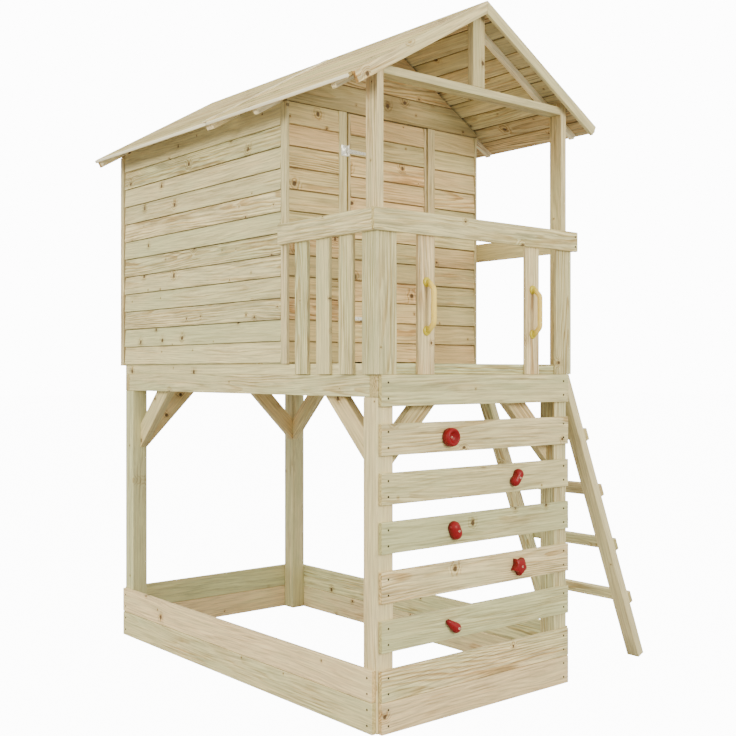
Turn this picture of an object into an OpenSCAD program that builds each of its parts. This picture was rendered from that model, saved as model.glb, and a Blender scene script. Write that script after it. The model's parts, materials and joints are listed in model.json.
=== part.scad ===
// A gabled play cabin on a post platform, with balcony, climbing wall, ladder and sandpit.
// Millimetres, +Z up, the climbing wall faces -Y and the ladder stands on +X.

/* [Lower frame] */
// Width over the posts
frame_w = 1146; // [1000:1:1400]
// Length over the posts
frame_l = 2125; // [1900:1:2500]
// Side of a square post
post_s = 85; // [75:1:100]
// Height of the lower posts
post_h = 1327; // [1200:1:1450]
// Thickness of the rim beams
beam_t = 45; // [35:1:60]
// Height of the rim beams
beam_h = 90; // [70:1:120]
// Width of a knee brace
brace_w = 90; // [60:1:110]
// Drop of a knee brace below the beams
brace_drop = 308; // [220:1:360]

/* [Boards] */
// Height of a climbing or sandpit board
board_w = 126; // [100:1:135]
// Thickness of a climbing or sandpit board
board_t = 20; // [14:1:28]
// Set back of the board ends from the post corners
board_set = 8; // [0:1:20]
// Rows of sandpit boards
pit_rows = 2; // [1:1:2]
// Rows of climbing boards
climb_rows = 5; // [3:1:6]
// Gap between boards laid edge to edge or end to edge
seam = 0.5; // [0.3:0.1:2]

/* [Deck] */
// Height of the deck edge boards
deck_h = 45; // [36:1:70]
// Thickness of the deck edge boards
edge_t = 28; // [20:1:40]
// Thickness of the floor boards
floor_t = 18; // [12:1:25]
// Width of a floor board with its gap
floor_pitch = 103; // [80:1:150]
// Gap between floor boards
floor_gap = 5; // [2:1:8]
// Width of a joist
joist_w = 45; // [30:1:70]
// Number of joists
joists = 4; // [3:1:6]

/* [Balcony] */
// Depth from the posts to the cabin front
balcony_d = 589; // [520:1:760]
// Thickness of an upper post across the front
upper_x = 35; // [28:1:50]
// Depth of an upper post and of the tie beam
upper_y = 70; // [50:1:90]
// Height of the tie beam
tie_h = 35; // [25:1:50]
// Drop of the tie beam below the roof boards at the posts
tie_drop = 22; // [10:1:80]
// Width of the king post
king_w = 70; // [45:1:90]
// Thickness of the king post
king_t = 35; // [25:1:50]
// Width of balusters and corner boards
slat_w = 90; // [60:1:100]
// Thickness of balusters, corner boards and corner trims
slat_t = 16; // [12:1:22]
// Balusters on the left side
slats = 3; // [2:1:3]
// Clear width between the front balusters
gate_w = 554; // [460:1:620]
// Height of a rail
rail_h = 90; // [60:1:120]
// Thickness of a rail
rail_t = 18; // [14:1:30]
// Height of the rail tops above the floor
rail_top = 610; // [550:1:750]
// Length of the front rail beyond the side rails
rail_over = 9; // [0:1:25]
// Length of the slats kept below the rail tops
rail_tuck = 12; // [4:1:30]

/* [Hand grips] */
// Length of a hand grip
grip_l = 242; // [180:1:260]
// Radius of a grip bar
grip_r = 11.5; // [10:0.5:16]
// Reach of a grip bar from the slat
grip_out = 44; // [40:1:70]
// Radius of a grip foot
grip_foot_r = 22; // [18:0.5:26]
// Thickness of a grip foot
grip_foot_t = 7; // [6:0.5:12]
// Run of a grip arm toward the middle of the grip
grip_step = 17; // [8:1:24]
// Height of the grip centre above the floor
grip_z = 232; // [200:1:380]

/* [Cabin] */
// Height of the walls above the floor
wall_h = 1147; // [1000:1:1400]
// Thickness of the wall frames
stud_t = 28; // [20:1:40]
// Width of studs and plates
stud_w = 45; // [30:1:60]
// Studs in a side wall
side_studs = 4; // [3:1:6]
// Thickness of a cladding board at its lower edge
clad_t = 14; // [10:0.5:16]
// Thickness of a cladding board at its upper edge
clad_top = 7; // [4:0.5:9]
// Rows of cladding
clad_rows = 12; // [10:1:16]
// Gap under the cladding
clad_lift = 7; // [2:1:15]
// Width of the front corner trims and of the trims behind the cabin
trim_w = 45; // [30:1:70]
// Width of the rear corner trims
rear_trim_w = 36; // [30:1:60]
// Height of a gable board
gable_w = 125; // [90:1:160]

/* [Door] */
// Width of the doorway
way_w = 504; // [440:1:600]
// Gap between the door and its frame
door_gap = 4; // [3:0.5:8]
// Gap under the door
door_lift = 12; // [8:1:25]
// Set back of the door boards from the door edges
door_inset = 20; // [8:1:30]
// Width of a hinge plate
plate_w = 30; // [22:1:40]
// Height of a hinge plate
plate_h = 50; // [40:1:60]
// Thickness of the hinge metal
hinge_t = 2.5; // [2:0.25:4]
// Length of a hinge strap
strap_l = 118; // [90:1:180]
// Height of a hinge strap at its knuckle
strap_h = 22; // [16:1:26]
// Height of a hinge strap at its tip
strap_tip = 12; // [8:1:18]
// Radius of a hinge knuckle
knuckle_r = 6; // [5:0.25:7]
// Radius of a hinge pin
pin_r = 3; // [2:0.25:3.5]
// Running clearance of a hinge pin
pin_clear = 0.05; // [0.02:0.01:0.1]
// Play between the knuckles
knuckle_play = 0.6; // [0.4:0.1:1]
// Height of a hinge strap above the lower edge of its board
strap_lift = 2; // [0:0.5:8]
// Rows of boards between a hinge and the end of the door
hinge_rows = 2; // [1:1:4]

/* [Roof] */
// Pitch of the roof in degrees
roof_pitch = 30.5; // [24:0.1:36]
// Half span of the roof
roof_half = 748; // [680:1:860]
// Reach of the roof in front of the posts
roof_front = 51; // [30:1:160]
// Reach of the roof behind the posts
roof_rear = 37; // [34:1:160]
// Thickness of the roof boards
roof_t = 16; // [12:1:22]
// Boards on a slope
roof_boards = 9; // [7:1:12]
// Length of the front roof panels
front_panel = 1037; // [800:1:1300]
// Gap between the front and rear roof panels
panel_gap = 2; // [1:0.5:6]
// Width of the strip over that gap
strip_w = 40; // [24:1:70]
// Thickness of the strip
strip_t = 7; // [4:0.5:14]
// Distance of the strip from the ridge
strip_top = 60; // [20:1:120]
// Width of a roof cleat
cleat_w = 30; // [24:1:60]
// Thickness of a roof cleat
cleat_t = 24; // [20:1:40]
// Set back of the cleat ends from the eaves
cleat_back = 14; // [5:1:60]
// Width of a bargeboard
barge_w = 48; // [40:1:90]
// Thickness of a bargeboard
barge_t = 18; // [12:1:24]
// Set back of the bargeboard ends from the eaves
barge_back = 22; // [0:1:60]

/* [Ladder] */
// Width over the stringers
ladder_w = 597; // [480:1:640]
// Set back of the ladder from the front of the posts
ladder_in = 31; // [10:1:60]
// Distance of the ladder foot from the platform
ladder_out = 597; // [480:1:700]
// Width of a stringer
stringer_w = 70; // [50:1:90]
// Thickness of a stringer
stringer_t = 45; // [35:1:60]
// Height of the stringer seat at the ladder head
ladder_seat = 15; // [8:1:40]
// Thickness of the head board behind the stringers
head_t = 16; // [10:1:28]
// Set back of the head board ends from the stringer sides
head_in = 20; // [5:1:35]
// Number of rungs
rungs = 4; // [3:1:5]
// Height of the first rung
rung_first = 307; // [220:1:320]
// Rise from rung to rung
rung_rise = 273; // [220:1:280]
// Width of a rung
rung_w = 60; // [45:1:80]
// Thickness of a rung
rung_t = 22; // [18:1:30]

/* [Holds] */
// Radius of the round hold
hold_r = 40; // [30:1:48]
// Depth of a hold
hold_d = 36; // [26:1:44]
// Radius of a hold bolt head
bolt_head_r = 6; // [5:0.5:10]
// Height of a hold bolt head
bolt_head_h = 4; // [3:0.5:8]
// Radius of a hold bolt
bolt_r = 4; // [3:0.5:4.5]

/* [Screws] */
// Radius of a screw head
screw_head_r = 4.5; // [3:0.5:6]
// Height of a screw head
screw_head_h = 3; // [2:0.5:4]
// Height of a screw head above the wood
screw_proud = 0.8; // [0.4:0.1:1.2]
// Radius of a screw shank
screw_r = 2.5; // [1.5:0.25:3]
// Length of a screw
screw_l = 60; // [40:1:75]

/* [Hidden] */
$fn = 40;
hull_fn = 32;
over = 5;
fit = 0.3;
wood = "burlywood";

side_x = frame_w / 2;
deck_z = post_h + beam_h;
floor_z = deck_z + deck_h;
brace_t = post_s - beam_t;
brace_z = post_h - brace_drop;
brace_cut = brace_w * sqrt(2);
brace_run = deck_z - brace_z;
climb_gap = (deck_z - (pit_rows + climb_rows + 1) * board_w) / (climb_rows + 1);
function row_z(i) = pit_rows * board_w + climb_gap + i * (board_w + climb_gap);

rail_z = floor_z + rail_top;
front_y = balcony_d;
wall_z = floor_z + wall_h;
frame_y = front_y + clad_t;
back_y = frame_l - stud_t;
rear_y = frame_l + clad_t + slat_t;
clad_z = floor_z + clad_lift;
clad_pitch = (wall_z - clad_z) / clad_rows;
way_x = way_w / 2;

// Roof lines: the cleats rest on the outer top edges of the front corner trims
ridge_z = wall_z + (cleat_t + roof_t) / cos(roof_pitch) + (side_x + slat_t) * tan(roof_pitch);
slope_l = roof_half / cos(roof_pitch);
function slope(s, d) = [s * cos(roof_pitch) - d * sin(roof_pitch),
    ridge_z - s * sin(roof_pitch) - d * cos(roof_pitch)];
function plumb(d) = slope((seam / 2 + d * sin(roof_pitch)) / cos(roof_pitch), d);
function below(x, d) = ridge_z - (d + fit) / cos(roof_pitch) - abs(x) * tan(roof_pitch);
function under(x) = below(x, roof_t);
roof_y0 = barge_t - roof_front;
roof_y1 = frame_l + roof_rear - barge_t;
panel_y = roof_y0 + front_panel;
// Ends of the two roof panels
panels = [[roof_y0, panel_y], [panel_y + panel_gap, roof_y1]];
cleat_ys = [upper_y, frame_y + clad_t, panel_y - cleat_w, panel_y + panel_gap, frame_l - cleat_w];

// Ladder lines: the seat is plumb on the head board and the foot is cut square
seat_z = deck_z - ladder_seat;
seat_x = side_x + head_t;
ladder_a = atan((ladder_out - head_t) / seat_z);
foot_x = side_x + ladder_out;
function ladder_outer(z) = [foot_x + stringer_t / cos(ladder_a) - z * tan(ladder_a), z];
ladder_up = [-sin(ladder_a), cos(ladder_a)];
ladder_off = [cos(ladder_a), sin(ladder_a)];

hinge_x = -way_x + door_gap / 2;
hinge_y = front_y - knuckle_r;
hinge_zs = [for (r = [hinge_rows, clad_rows - hinge_rows])
    clad_z + r * clad_pitch + strap_lift + strap_h / 2];
knuckle_h = (plate_h - strap_h) / 2;

// The origin lies on the ground under the middle of the part's box
mid_x = (foot_x + stringer_t * cos(ladder_a) - roof_half) / 2;
mid_y = (frame_l + roof_rear - slat_t - grip_out - grip_r - fit) / 2;

// Places of the holds, as shares of the width, and the rows that carry them
hold_shares = [-0.15, 0.187, -0.151, 0.175, -0.175];
hold_lift_shares = [-0.13, 0, -0.015, 0, -0.015];
hold_count = len(hold_shares);
hold_rows = [for (i = [0 : hold_count - 1]) round(i * (climb_rows - 1) / (hold_count - 1))];
star_points = 5;

module place() {
    translate([-mid_x, -mid_y, 0]) children();
}

module box(lo, hi) {
    translate(lo) cube(hi - lo);
}

// Extrude an X-Z outline along Y from y0 to y1
module along_y(y0, y1) {
    translate([0, y1, 0]) rotate([90, 0, 0]) linear_extrude(height = y1 - y0) children();
}

// Extrude a Y-Z outline along X from x0 to x1
module along_x(x0, x1) {
    translate([x0, 0, 0]) rotate([90, 0, 90]) linear_extrude(height = x1 - x0) children();
}

module both_x() {
    children();
    mirror([1, 0, 0]) children();
}

module both_y() {
    children();
    translate([0, frame_l, 0]) mirror([0, 1, 0]) children();
}

module post() {
    box([-side_x, 0, 0], [post_s - side_x, post_s, post_h]);
}

module post_front_left() { color(wood) place() post(); }
module post_front_right() { color(wood) place() mirror([1, 0, 0]) post(); }
module post_rear_left() { color(wood) place() translate([0, frame_l - post_s, 0]) post(); }
module post_rear_right() {
    color(wood) place() translate([0, frame_l - post_s, 0]) mirror([1, 0, 0]) post();
}

module beam_front() {
    color(wood) place() box([-side_x, 0, post_h], [side_x, beam_t, deck_z]);
}
module beam_rear() {
    color(wood) place() box([-side_x, frame_l - beam_t, post_h], [side_x, frame_l, deck_z]);
}
module side_beam() {
    box([-side_x, beam_t, post_h], [beam_t - side_x, frame_l - beam_t, deck_z]);
}
module beam_left() { color(wood) place() side_beam(); }
module beam_right() { color(wood) place() mirror([1, 0, 0]) side_beam(); }

// Outline of a knee brace, from the face of its post
module brace_shape() {
    polygon([[0, brace_z], [0, brace_z + brace_cut], [brace_run - brace_cut, deck_z],
        [brace_run, deck_z]]);
}
module side_braces() {
    both_y() along_x(beam_t - side_x, post_s - side_x) translate([post_s, 0]) brace_shape();
}
module end_braces() {
    both_x() along_y(beam_t, post_s) translate([post_s - side_x, 0]) brace_shape();
}
module braces_sides() { color(wood) place() both_x() side_braces(); }
module braces_ends() { color(wood) place() both_y() end_braces(); }

module pit_side() {
    for (i = [0 : pit_rows - 1])
        box([-side_x - board_t, board_set, i * board_w],
            [-side_x, frame_l - board_set, (i + 1) * board_w - seam]);
}
module front_board(z) {
    box([board_set - side_x, -board_t, z], [side_x - board_set, 0, z + board_w - seam]);
}
module sandpit_left() { color(wood) place() pit_side(); }
module sandpit_right() { color(wood) place() mirror([1, 0, 0]) pit_side(); }
module sandpit_front() {
    color(wood) place() for (i = [0 : pit_rows - 1]) front_board(i * board_w);
}
module sandpit_rear() {
    color(wood) place() for (i = [0 : pit_rows - 1])
        translate([0, frame_l + board_t, 0]) front_board(i * board_w);
}
module climbing_boards() {
    color(wood) place() for (i = [0 : climb_rows - 1]) front_board(row_z(i));
}
module front_top_board() { color(wood) place() front_board(row_z(climb_rows)); }

// Stand a hold on the board face: its own +Z points out of the wall
module on_wall(i) {
    x = hold_shares[i] * frame_w;
    z = row_z(hold_rows[i]) + board_w / 2 + hold_lift_shares[i] * board_w;
    translate([x, -board_t, z]) rotate([90, 0, 0]) children();
}
// Keep what stands in front of the board
module cut_flat(reach) {
    intersection() {
        children();
        translate([-reach, -reach, 0]) cube([reach * 2, reach * 2, reach * 2]);
    }
}

// Dished disc: radius and height shares of its lathe outline
disc_shares = [[0, 0], [0.92, 0], [0.98, 0.1], [1, 0.3], [0.99, 0.55], [0.95, 0.78], [0.88, 0.92],
    [0.78, 1], [0.68, 0.97], [0.56, 0.82], [0.38, 0.62], [0.2, 0.52], [0, 0.5]];
module hold_round() {
    color("firebrick") place() on_wall(4) rotate_extrude()
        polygon([for (p = disc_shares) [p[0] * hold_r, p[1] * hold_d]]);
}

// Shares of the hold radius and depth
kidney_share = 0.58;
kidney_step_share = 0.46;
kidney_bite_share = 0.62;
oval_share = 0.71;
oval_step_share = 0.32;
star_share = 1.1;
star_waist_share = 0.6;
drop_share = 0.56;
drop_tip_share = 0.3;
drop_step_share = 1.2;
drop_high_share = 0.26;
kidney_turn = -24;
oval_turn = 24;
drop_turn = 54;

module hold_kidney() {
    r = hold_r * kidney_share;
    step = hold_r * kidney_step_share;
    color("firebrick") place() on_wall(3) rotate([0, 0, kidney_turn]) difference() {
        cut_flat(hold_r * 2) hull() {
            translate([0, step, hold_d - r]) sphere(r, $fn = hull_fn);
            translate([0, -step, hold_d - r]) sphere(r, $fn = hull_fn);
        }
        translate([-r - step, 0, -over])
            cylinder(h = hold_d + over * 2, r = hold_r * kidney_bite_share);
    }
}
module hold_oval() {
    r = hold_r * oval_share;
    step = hold_r * oval_step_share;
    color("firebrick") place() on_wall(2) rotate([0, 0, oval_turn]) cut_flat(hold_r * 2) hull() {
        translate([0, step, hold_d - r]) sphere(r, $fn = hull_fn);
        translate([0, -step, hold_d - r]) sphere(r, $fn = hull_fn);
    }
}
// Domed disc: radius and height shares of its lathe outline
dome_shares = [[0, 0], [1, 0], [1, 0.35], [0.95, 0.56], [0.82, 0.76], [0.6, 0.9], [0.3, 0.98], [0, 1]];
module hold_star() {
    r = hold_r * star_share;
    color("firebrick") place() on_wall(1) intersection() {
        rotate_extrude() polygon([for (p = dome_shares) [p[0] * r, p[1] * hold_d]]);
        translate([0, 0, -over]) linear_extrude(height = hold_d + over * 2)
            polygon([for (k = [0 : star_points * 2 - 1])
                (k % 2 == 0 ? r : r * star_waist_share)
                    * [cos(k * 180 / star_points - 90), sin(k * 180 / star_points - 90)]]);
    }
}
module hold_drop() {
    r = hold_r * drop_share;
    color("firebrick") place() on_wall(0) rotate([0, 0, drop_turn]) cut_flat(hold_r * 2) hull() {
        translate([0, 0, hold_d - r]) sphere(r, $fn = hull_fn);
        translate([0, hold_r * drop_step_share, hold_d * drop_high_share])
            sphere(hold_r * drop_tip_share, $fn = hull_fn);
    }
}

// Depth shares at which the bolt heads sit in the holds
bolt_shares = [1, 1, 1, 1, 0.5];
module hold_bolts() {
    color("silver") place() for (i = [0 : len(hold_shares) - 1]) on_wall(i) {
        translate([0, 0, bolt_shares[i] * hold_d - bolt_head_h / 2])
            cylinder(h = bolt_head_h, r = bolt_head_r);
        translate([0, 0, -board_t]) cylinder(h = board_t + bolt_shares[i] * hold_d, r = bolt_r);
    }
}

// A screw along +Y whose head stands at the wood's face
module screw() {
    rotate([-90, 0, 0]) {
        translate([0, 0, -screw_proud]) cylinder(h = screw_head_h, r = screw_head_r);
        cylinder(h = screw_l, r = screw_r);
    }
}
module screws() {
    rows = concat([for (i = [0 : pit_rows - 1]) i * board_w],
        [for (i = [0 : climb_rows]) row_z(i)]);
    color("dimgray") place() {
        both_x() for (z = rows, k = [1, 3])
            translate([side_x - post_s / 2, -board_t, z + board_w * k / 4]) screw();
        for (k = [1, 3])
            translate([side_x + slat_t + rail_t / 2, -slat_t - rail_t, rail_z - rail_h * k / 4])
                screw();
    }
}

module deck_edges() {
    color(wood) place() {
        both_x() box([-side_x, 0, deck_z], [edge_t - side_x, frame_l, floor_z]);
        both_y() box([edge_t - side_x + seam, 0, deck_z], [side_x - edge_t - seam, edge_t, floor_z]);
    }
}
joist_z = floor_z - floor_t;
joist_step = (frame_w - edge_t * 2 - joist_w) / (joists - 1);
module deck_joists() {
    color(wood) place() for (i = [0 : joists - 1])
        translate([edge_t - side_x + i * joist_step, 0, 0])
            box([0, edge_t, deck_z], [joist_w, frame_l - edge_t, joist_z]);
}
floor_l = frame_l - edge_t * 2;
floor_count = floor(floor_l / floor_pitch);
floor_step = (floor_l + floor_gap) / floor_count;
module floor_boards() {
    color(wood) place() for (i = [0 : floor_count - 1])
        translate([0, edge_t + i * floor_step, 0])
            box([edge_t - side_x, 0, joist_z], [side_x - edge_t, floor_step - floor_gap, floor_z]);
}

module upper_posts() {
    color(wood) place() both_x() along_y(0, upper_y)
        polygon([[-side_x, floor_z], [upper_x - side_x, floor_z],
            [upper_x - side_x, under(side_x - upper_x)], [-side_x, under(side_x)]]);
}
tie_z = under(side_x - upper_x) - tie_drop;
module tie_beam() {
    color(wood) place() box([upper_x - side_x, 0, tie_z - tie_h], [side_x - upper_x, upper_y, tie_z]);
}
module king_post() {
    k = king_w / 2;
    color(wood) place() along_y(0, king_t)
        polygon([[-k, tie_z], [k, tie_z], [k, under(k)], [0, under(0)], [-k, under(k)]]);
}

module rail_front() {
    x = side_x + slat_t + rail_t + rail_over;
    color(wood) place() box([-x, -slat_t - rail_t, rail_z - rail_h], [x, -slat_t, rail_z]);
}
module side_rail() {
    box([-side_x - slat_t - rail_t, -slat_t, rail_z - rail_h],
        [-side_x - slat_t, front_y + trim_w, rail_z]);
}
module rail_left() { color(wood) place() side_rail(); }
module rail_right() { color(wood) place() mirror([1, 0, 0]) side_rail(); }

slat_z = rail_z - rail_tuck;
module corner_boards() {
    color(wood) place() both_x() {
        box([-side_x - slat_t, -slat_t, deck_z], [-side_x, slat_w - slat_t, slat_z]);
        box([seam - side_x, -slat_t, deck_z], [slat_w - side_x, 0, slat_z]);
    }
}
slat_space = (front_y - slat_w + slat_t - slats * slat_w) / (slats + 1);
module balusters_left() {
    color(wood) place() for (i = [1 : slats])
        translate([0, i * (slat_w + slat_space) - slat_t, 0])
            box([-side_x - slat_t, 0, deck_z], [-side_x, slat_w, slat_z]);
}
module balusters_front() {
    color(wood) place() both_x()
        box([gate_w / 2, -slat_t, deck_z], [gate_w / 2 + slat_w, 0, slat_z]);
}

// A grip: a bar on two arms that lean in from round feet, with knees a little fuller than the bar
grip_half = grip_l / 2 - grip_foot_r;
grip_bar = grip_half - grip_step;
grip_arm = grip_out - grip_foot_t;
grip_lean = atan(grip_step / grip_arm);
module grip() {
    x = (gate_w + slat_w) / 2;
    translate([x, -slat_t, floor_z + grip_z]) {
        for (s = [-1, 1]) {
            translate([0, 0, s * grip_half]) rotate([90, 0, 0])
                cylinder(h = grip_foot_t, r = grip_foot_r);
            translate([0, -grip_foot_t, s * grip_half]) rotate([90 + s * grip_lean, 0, 0])
                cylinder(h = grip_arm / cos(grip_lean), r = grip_r);
            translate([0, -grip_out, s * grip_bar]) sphere(grip_r + fit);
        }
        translate([0, -grip_out, -grip_bar]) cylinder(h = grip_bar * 2, r = grip_r);
    }
}
module grips() { color("gold") place() both_x() grip(); }

// The foot is cut square, so its inner edge stands on the ground
module stringer(y) {
    along_y(y, y + stringer_w) polygon([[foot_x, 0],
        [foot_x, 0] + ladder_off * stringer_t, ladder_outer(deck_z - fit), [seat_x, deck_z - fit],
        [seat_x, seat_z]]);
}
module stringer_near() { color(wood) place() stringer(ladder_in); }
module stringer_far() { color(wood) place() stringer(ladder_in + ladder_w - stringer_w); }
// The rungs, and the head board that holds the stringers on the side beam
module rungs_set() {
    color(wood) place() box([side_x, ladder_in + head_in, post_h],
        [seat_x, ladder_in + ladder_w - head_in, deck_z - fit]);
    color(wood) place() for (i = [0 : rungs - 1]) {
        p = ladder_outer(rung_first + i * rung_rise);
        h = ladder_up * rung_w / 2;
        t = ladder_off * rung_t;
        along_y(ladder_in, ladder_in + ladder_w) polygon([p - h, p - h + t, p + h + t, p + h]);
    }
}

in_x = side_x - stud_t;
stud_z0 = floor_z + stud_w;
stud_z1 = wall_z - stud_w;
module wall_studs() {
    step = (frame_l - frame_y - stud_w) / (side_studs - 1);
    color(wood) place() {
        both_x() {
            for (i = [0 : side_studs - 1]) translate([0, frame_y + i * step, 0])
                box([-side_x, 0, stud_z0], [-in_x, stud_w, stud_z1]);
            box([-way_x - stud_w, frame_y, floor_z], [-way_x, frame_y + stud_t, wall_z]);
            translate([in_x / 3 - stud_w / 2, 0, 0])
                box([0, back_y, stud_z0], [stud_w, frame_l, stud_z1]);
        }
    }
}
module wall_plates() {
    color(wood) place() for (z = [floor_z, stud_z1]) translate([0, 0, z]) {
        both_x() {
            box([-side_x, frame_y, 0], [-in_x, frame_l, stud_w]);
            box([seam - in_x, frame_y, 0], [-way_x - stud_w, frame_y + stud_t, stud_w]);
        }
        box([seam - in_x, back_y, 0], [in_x - seam, frame_l, stud_w]);
    }
    color(wood) place()
        box([-way_x - stud_w, frame_y, wall_z], [way_x + stud_w, frame_y + stud_t, wall_z + stud_w]);
}

// Outline of one lap board, out of the face at 0
module lap(i) {
    z0 = clad_z + i * clad_pitch;
    z1 = z0 + clad_pitch - seam;
    polygon([[0, z0], [-clad_t, z0], [-clad_top, z1], [0, z1]]);
}
module side_cladding() {
    for (i = [0 : clad_rows - 1])
        along_y(front_y + trim_w, rear_y - rear_trim_w) translate([-side_x, 0]) lap(i);
}
module cladding_left() { color(wood) place() side_cladding(); }
module cladding_right() { color(wood) place() mirror([1, 0, 0]) side_cladding(); }
module cladding_rear() {
    color(wood) place() for (i = [0 : clad_rows - 1])
        along_x(-side_x, side_x) translate([frame_l, 0]) mirror([1, 0]) lap(i);
}
module cladding_front() {
    color(wood) place() both_x() for (i = [0 : clad_rows - 1])
        along_x(-side_x, -way_x - stud_w) translate([frame_y, 0]) lap(i);
}

// Plain boards over the walls, cut to the roof
gable_half = side_x + slat_t;
module gable(y0, y1) {
    count = ceil((under(0) - wall_z) / gable_w);
    eave = under(gable_half);
    for (i = [0 : count - 1]) intersection() {
        along_y(y0, y1) polygon([[-gable_half, wall_z], [gable_half, wall_z],
            [gable_half, eave], [0, under(0)], [-gable_half, eave]]);
        box([-gable_half - over, y0 - over, wall_z + i * gable_w],
            [gable_half + over, y1 + over, wall_z + (i + 1) * gable_w - seam]);
    }
}
module gable_front() { color(wood) place() gable(front_y, frame_y); }
module gable_rear() { color(wood) place() gable(frame_l, frame_l + clad_t); }

// The rear trims end under the bargeboards
module corner_trims() {
    top = below(gable_half, barge_w);
    color(wood) place() both_x() {
        box([-side_x - slat_t, front_y, floor_z], [-side_x, front_y + trim_w, wall_z]);
        box([-side_x - slat_t, rear_y - rear_trim_w, floor_z], [-side_x, rear_y, top]);
        box([seam - side_x, rear_y - slat_t, floor_z], [trim_w - side_x, rear_y, top]);
    }
}
module door_battens() {
    color(wood) place() both_x()
        box([-way_x - stud_w, front_y, floor_z], [-way_x, frame_y, wall_z]);
}

door_x = way_x - door_gap;
door_z0 = floor_z + door_lift;
door_z1 = wall_z - door_gap;
module door_stiles() {
    color(wood) place() both_x()
        box([-door_x, frame_y, door_z0], [stud_w - door_x, frame_y + stud_t, door_z1]);
}
module door_rails() {
    color(wood) place() for (z = [door_z0, (door_z0 + door_z1 - stud_w) / 2, door_z1 - stud_w])
        box([stud_w - door_x, frame_y, z], [door_x - stud_w, frame_y + stud_t, z + stud_w]);
}
// The lap boards of the door line up with those of the wall
module door_boards() {
    x = door_x - door_inset;
    color(wood) place() for (i = [0 : clad_rows - 1]) intersection() {
        along_x(-x, x) translate([frame_y, 0]) lap(i);
        box([-x - over, front_y - over, door_z0], [x + over, frame_y + over, door_z1]);
    }
}

module hinge_plates() {
    x = hinge_x - knuckle_r - knuckle_play;
    color("silver") place() for (hz = hinge_zs) translate([0, 0, hz - plate_h / 2]) difference() {
        union() {
            box([x - plate_w, front_y - hinge_t, 0], [x, front_y, plate_h]);
            for (z = [0, plate_h - knuckle_h]) translate([0, 0, z]) {
                box([x - hinge_t, front_y - hinge_t, 0], [hinge_x, front_y, knuckle_h]);
                translate([hinge_x, hinge_y, 0]) cylinder(h = knuckle_h, r = knuckle_r);
            }
        }
        translate([hinge_x, hinge_y, -over]) cylinder(h = plate_h + over * 2, r = pin_r);
    }
}
module hinge_straps() {
    h = strap_h / 2 - knuckle_play;
    color("silver") place() for (hz = hinge_zs) translate([0, 0, hz]) difference() {
        union() {
            translate([0, front_y, 0]) rotate([90, 0, 0]) linear_extrude(height = hinge_t)
                polygon([[hinge_x, -h], [hinge_x + strap_l, -strap_tip / 2],
                    [hinge_x + strap_l + strap_tip / 2, 0], [hinge_x + strap_l, strap_tip / 2],
                    [hinge_x, h]]);
            translate([hinge_x, hinge_y, -h]) cylinder(h = h * 2, r = knuckle_r);
        }
        translate([hinge_x, hinge_y, -plate_h]) cylinder(h = plate_h * 2, r = pin_r + pin_clear);
    }
}
module hinge_pins() {
    color("silver") place() for (hz = hinge_zs) translate([hinge_x, hinge_y, hz - plate_h / 2])
        cylinder(h = plate_h, r = pin_r);
}

board_step = slope_l / roof_boards;
module roof_side() {
    for (panel = panels, i = [0 : roof_boards - 1]) {
        s0 = i * board_step;
        s1 = s0 + board_step - (i < roof_boards - 1 ? seam : 0);
        along_y(panel[0], panel[1]) polygon([i == 0 ? plumb(0) : slope(s0, 0), slope(s1, 0),
            slope(s1, roof_t), i == 0 ? plumb(roof_t) : slope(s0, roof_t)]);
    }
}
module roof_right() { color(wood) place() roof_side(); }
module roof_left() { color(wood) place() mirror([1, 0, 0]) roof_side(); }
// A bar along the slope, from depth d0 to d1 below the roof's face
module rafter(y, w, d0, d1, back) {
    s1 = slope_l - back;
    along_y(y, y + w) polygon([plumb(d0), slope(s1, d0), slope(s1, d1), plumb(d1)]);
}
module bargeboards() {
    color(wood) place() both_x() for (y = [-roof_front, roof_y1])
        rafter(y, barge_t, 0, barge_w, barge_back);
}
module roof_cleats() {
    color(wood) place() both_x() for (y = cleat_ys)
        rafter(y, cleat_w, roof_t + fit, roof_t + cleat_t, cleat_back);
}
// A strip on each slope covers the joint of the panels
module seam_strips() {
    y = panel_y + (panel_gap - strip_w) / 2;
    color(wood) place() both_x() along_y(y, y + strip_w) polygon([slope(strip_top, -fit),
        slope(strip_top, -fit - strip_t), slope(slope_l, -fit - strip_t), slope(slope_l, -fit)]);
}

post_front_left();
post_front_right();
post_rear_left();
post_rear_right();
beam_front();
beam_rear();
beam_left();
beam_right();
braces_ends();
braces_sides();
sandpit_front();
sandpit_rear();
sandpit_left();
sandpit_right();
front_top_board();
climbing_boards();
hold_round();
hold_kidney();
hold_oval();
hold_star();
hold_drop();
hold_bolts();
screws();
deck_edges();
deck_joists();
floor_boards();
upper_posts();
tie_beam();
king_post();
rail_front();
rail_left();
rail_right();
corner_boards();
balusters_left();
balusters_front();
grips();
stringer_near();
stringer_far();
rungs_set();
wall_studs();
wall_plates();
cladding_left();
cladding_right();
cladding_rear();
cladding_front();
gable_front();
gable_rear();
corner_trims();
door_battens();
door_stiles();
door_rails();
door_boards();
hinge_plates();
hinge_straps();
hinge_pins();
roof_left();
roof_right();
bargeboards();
roof_cleats();
seam_strips();
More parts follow.
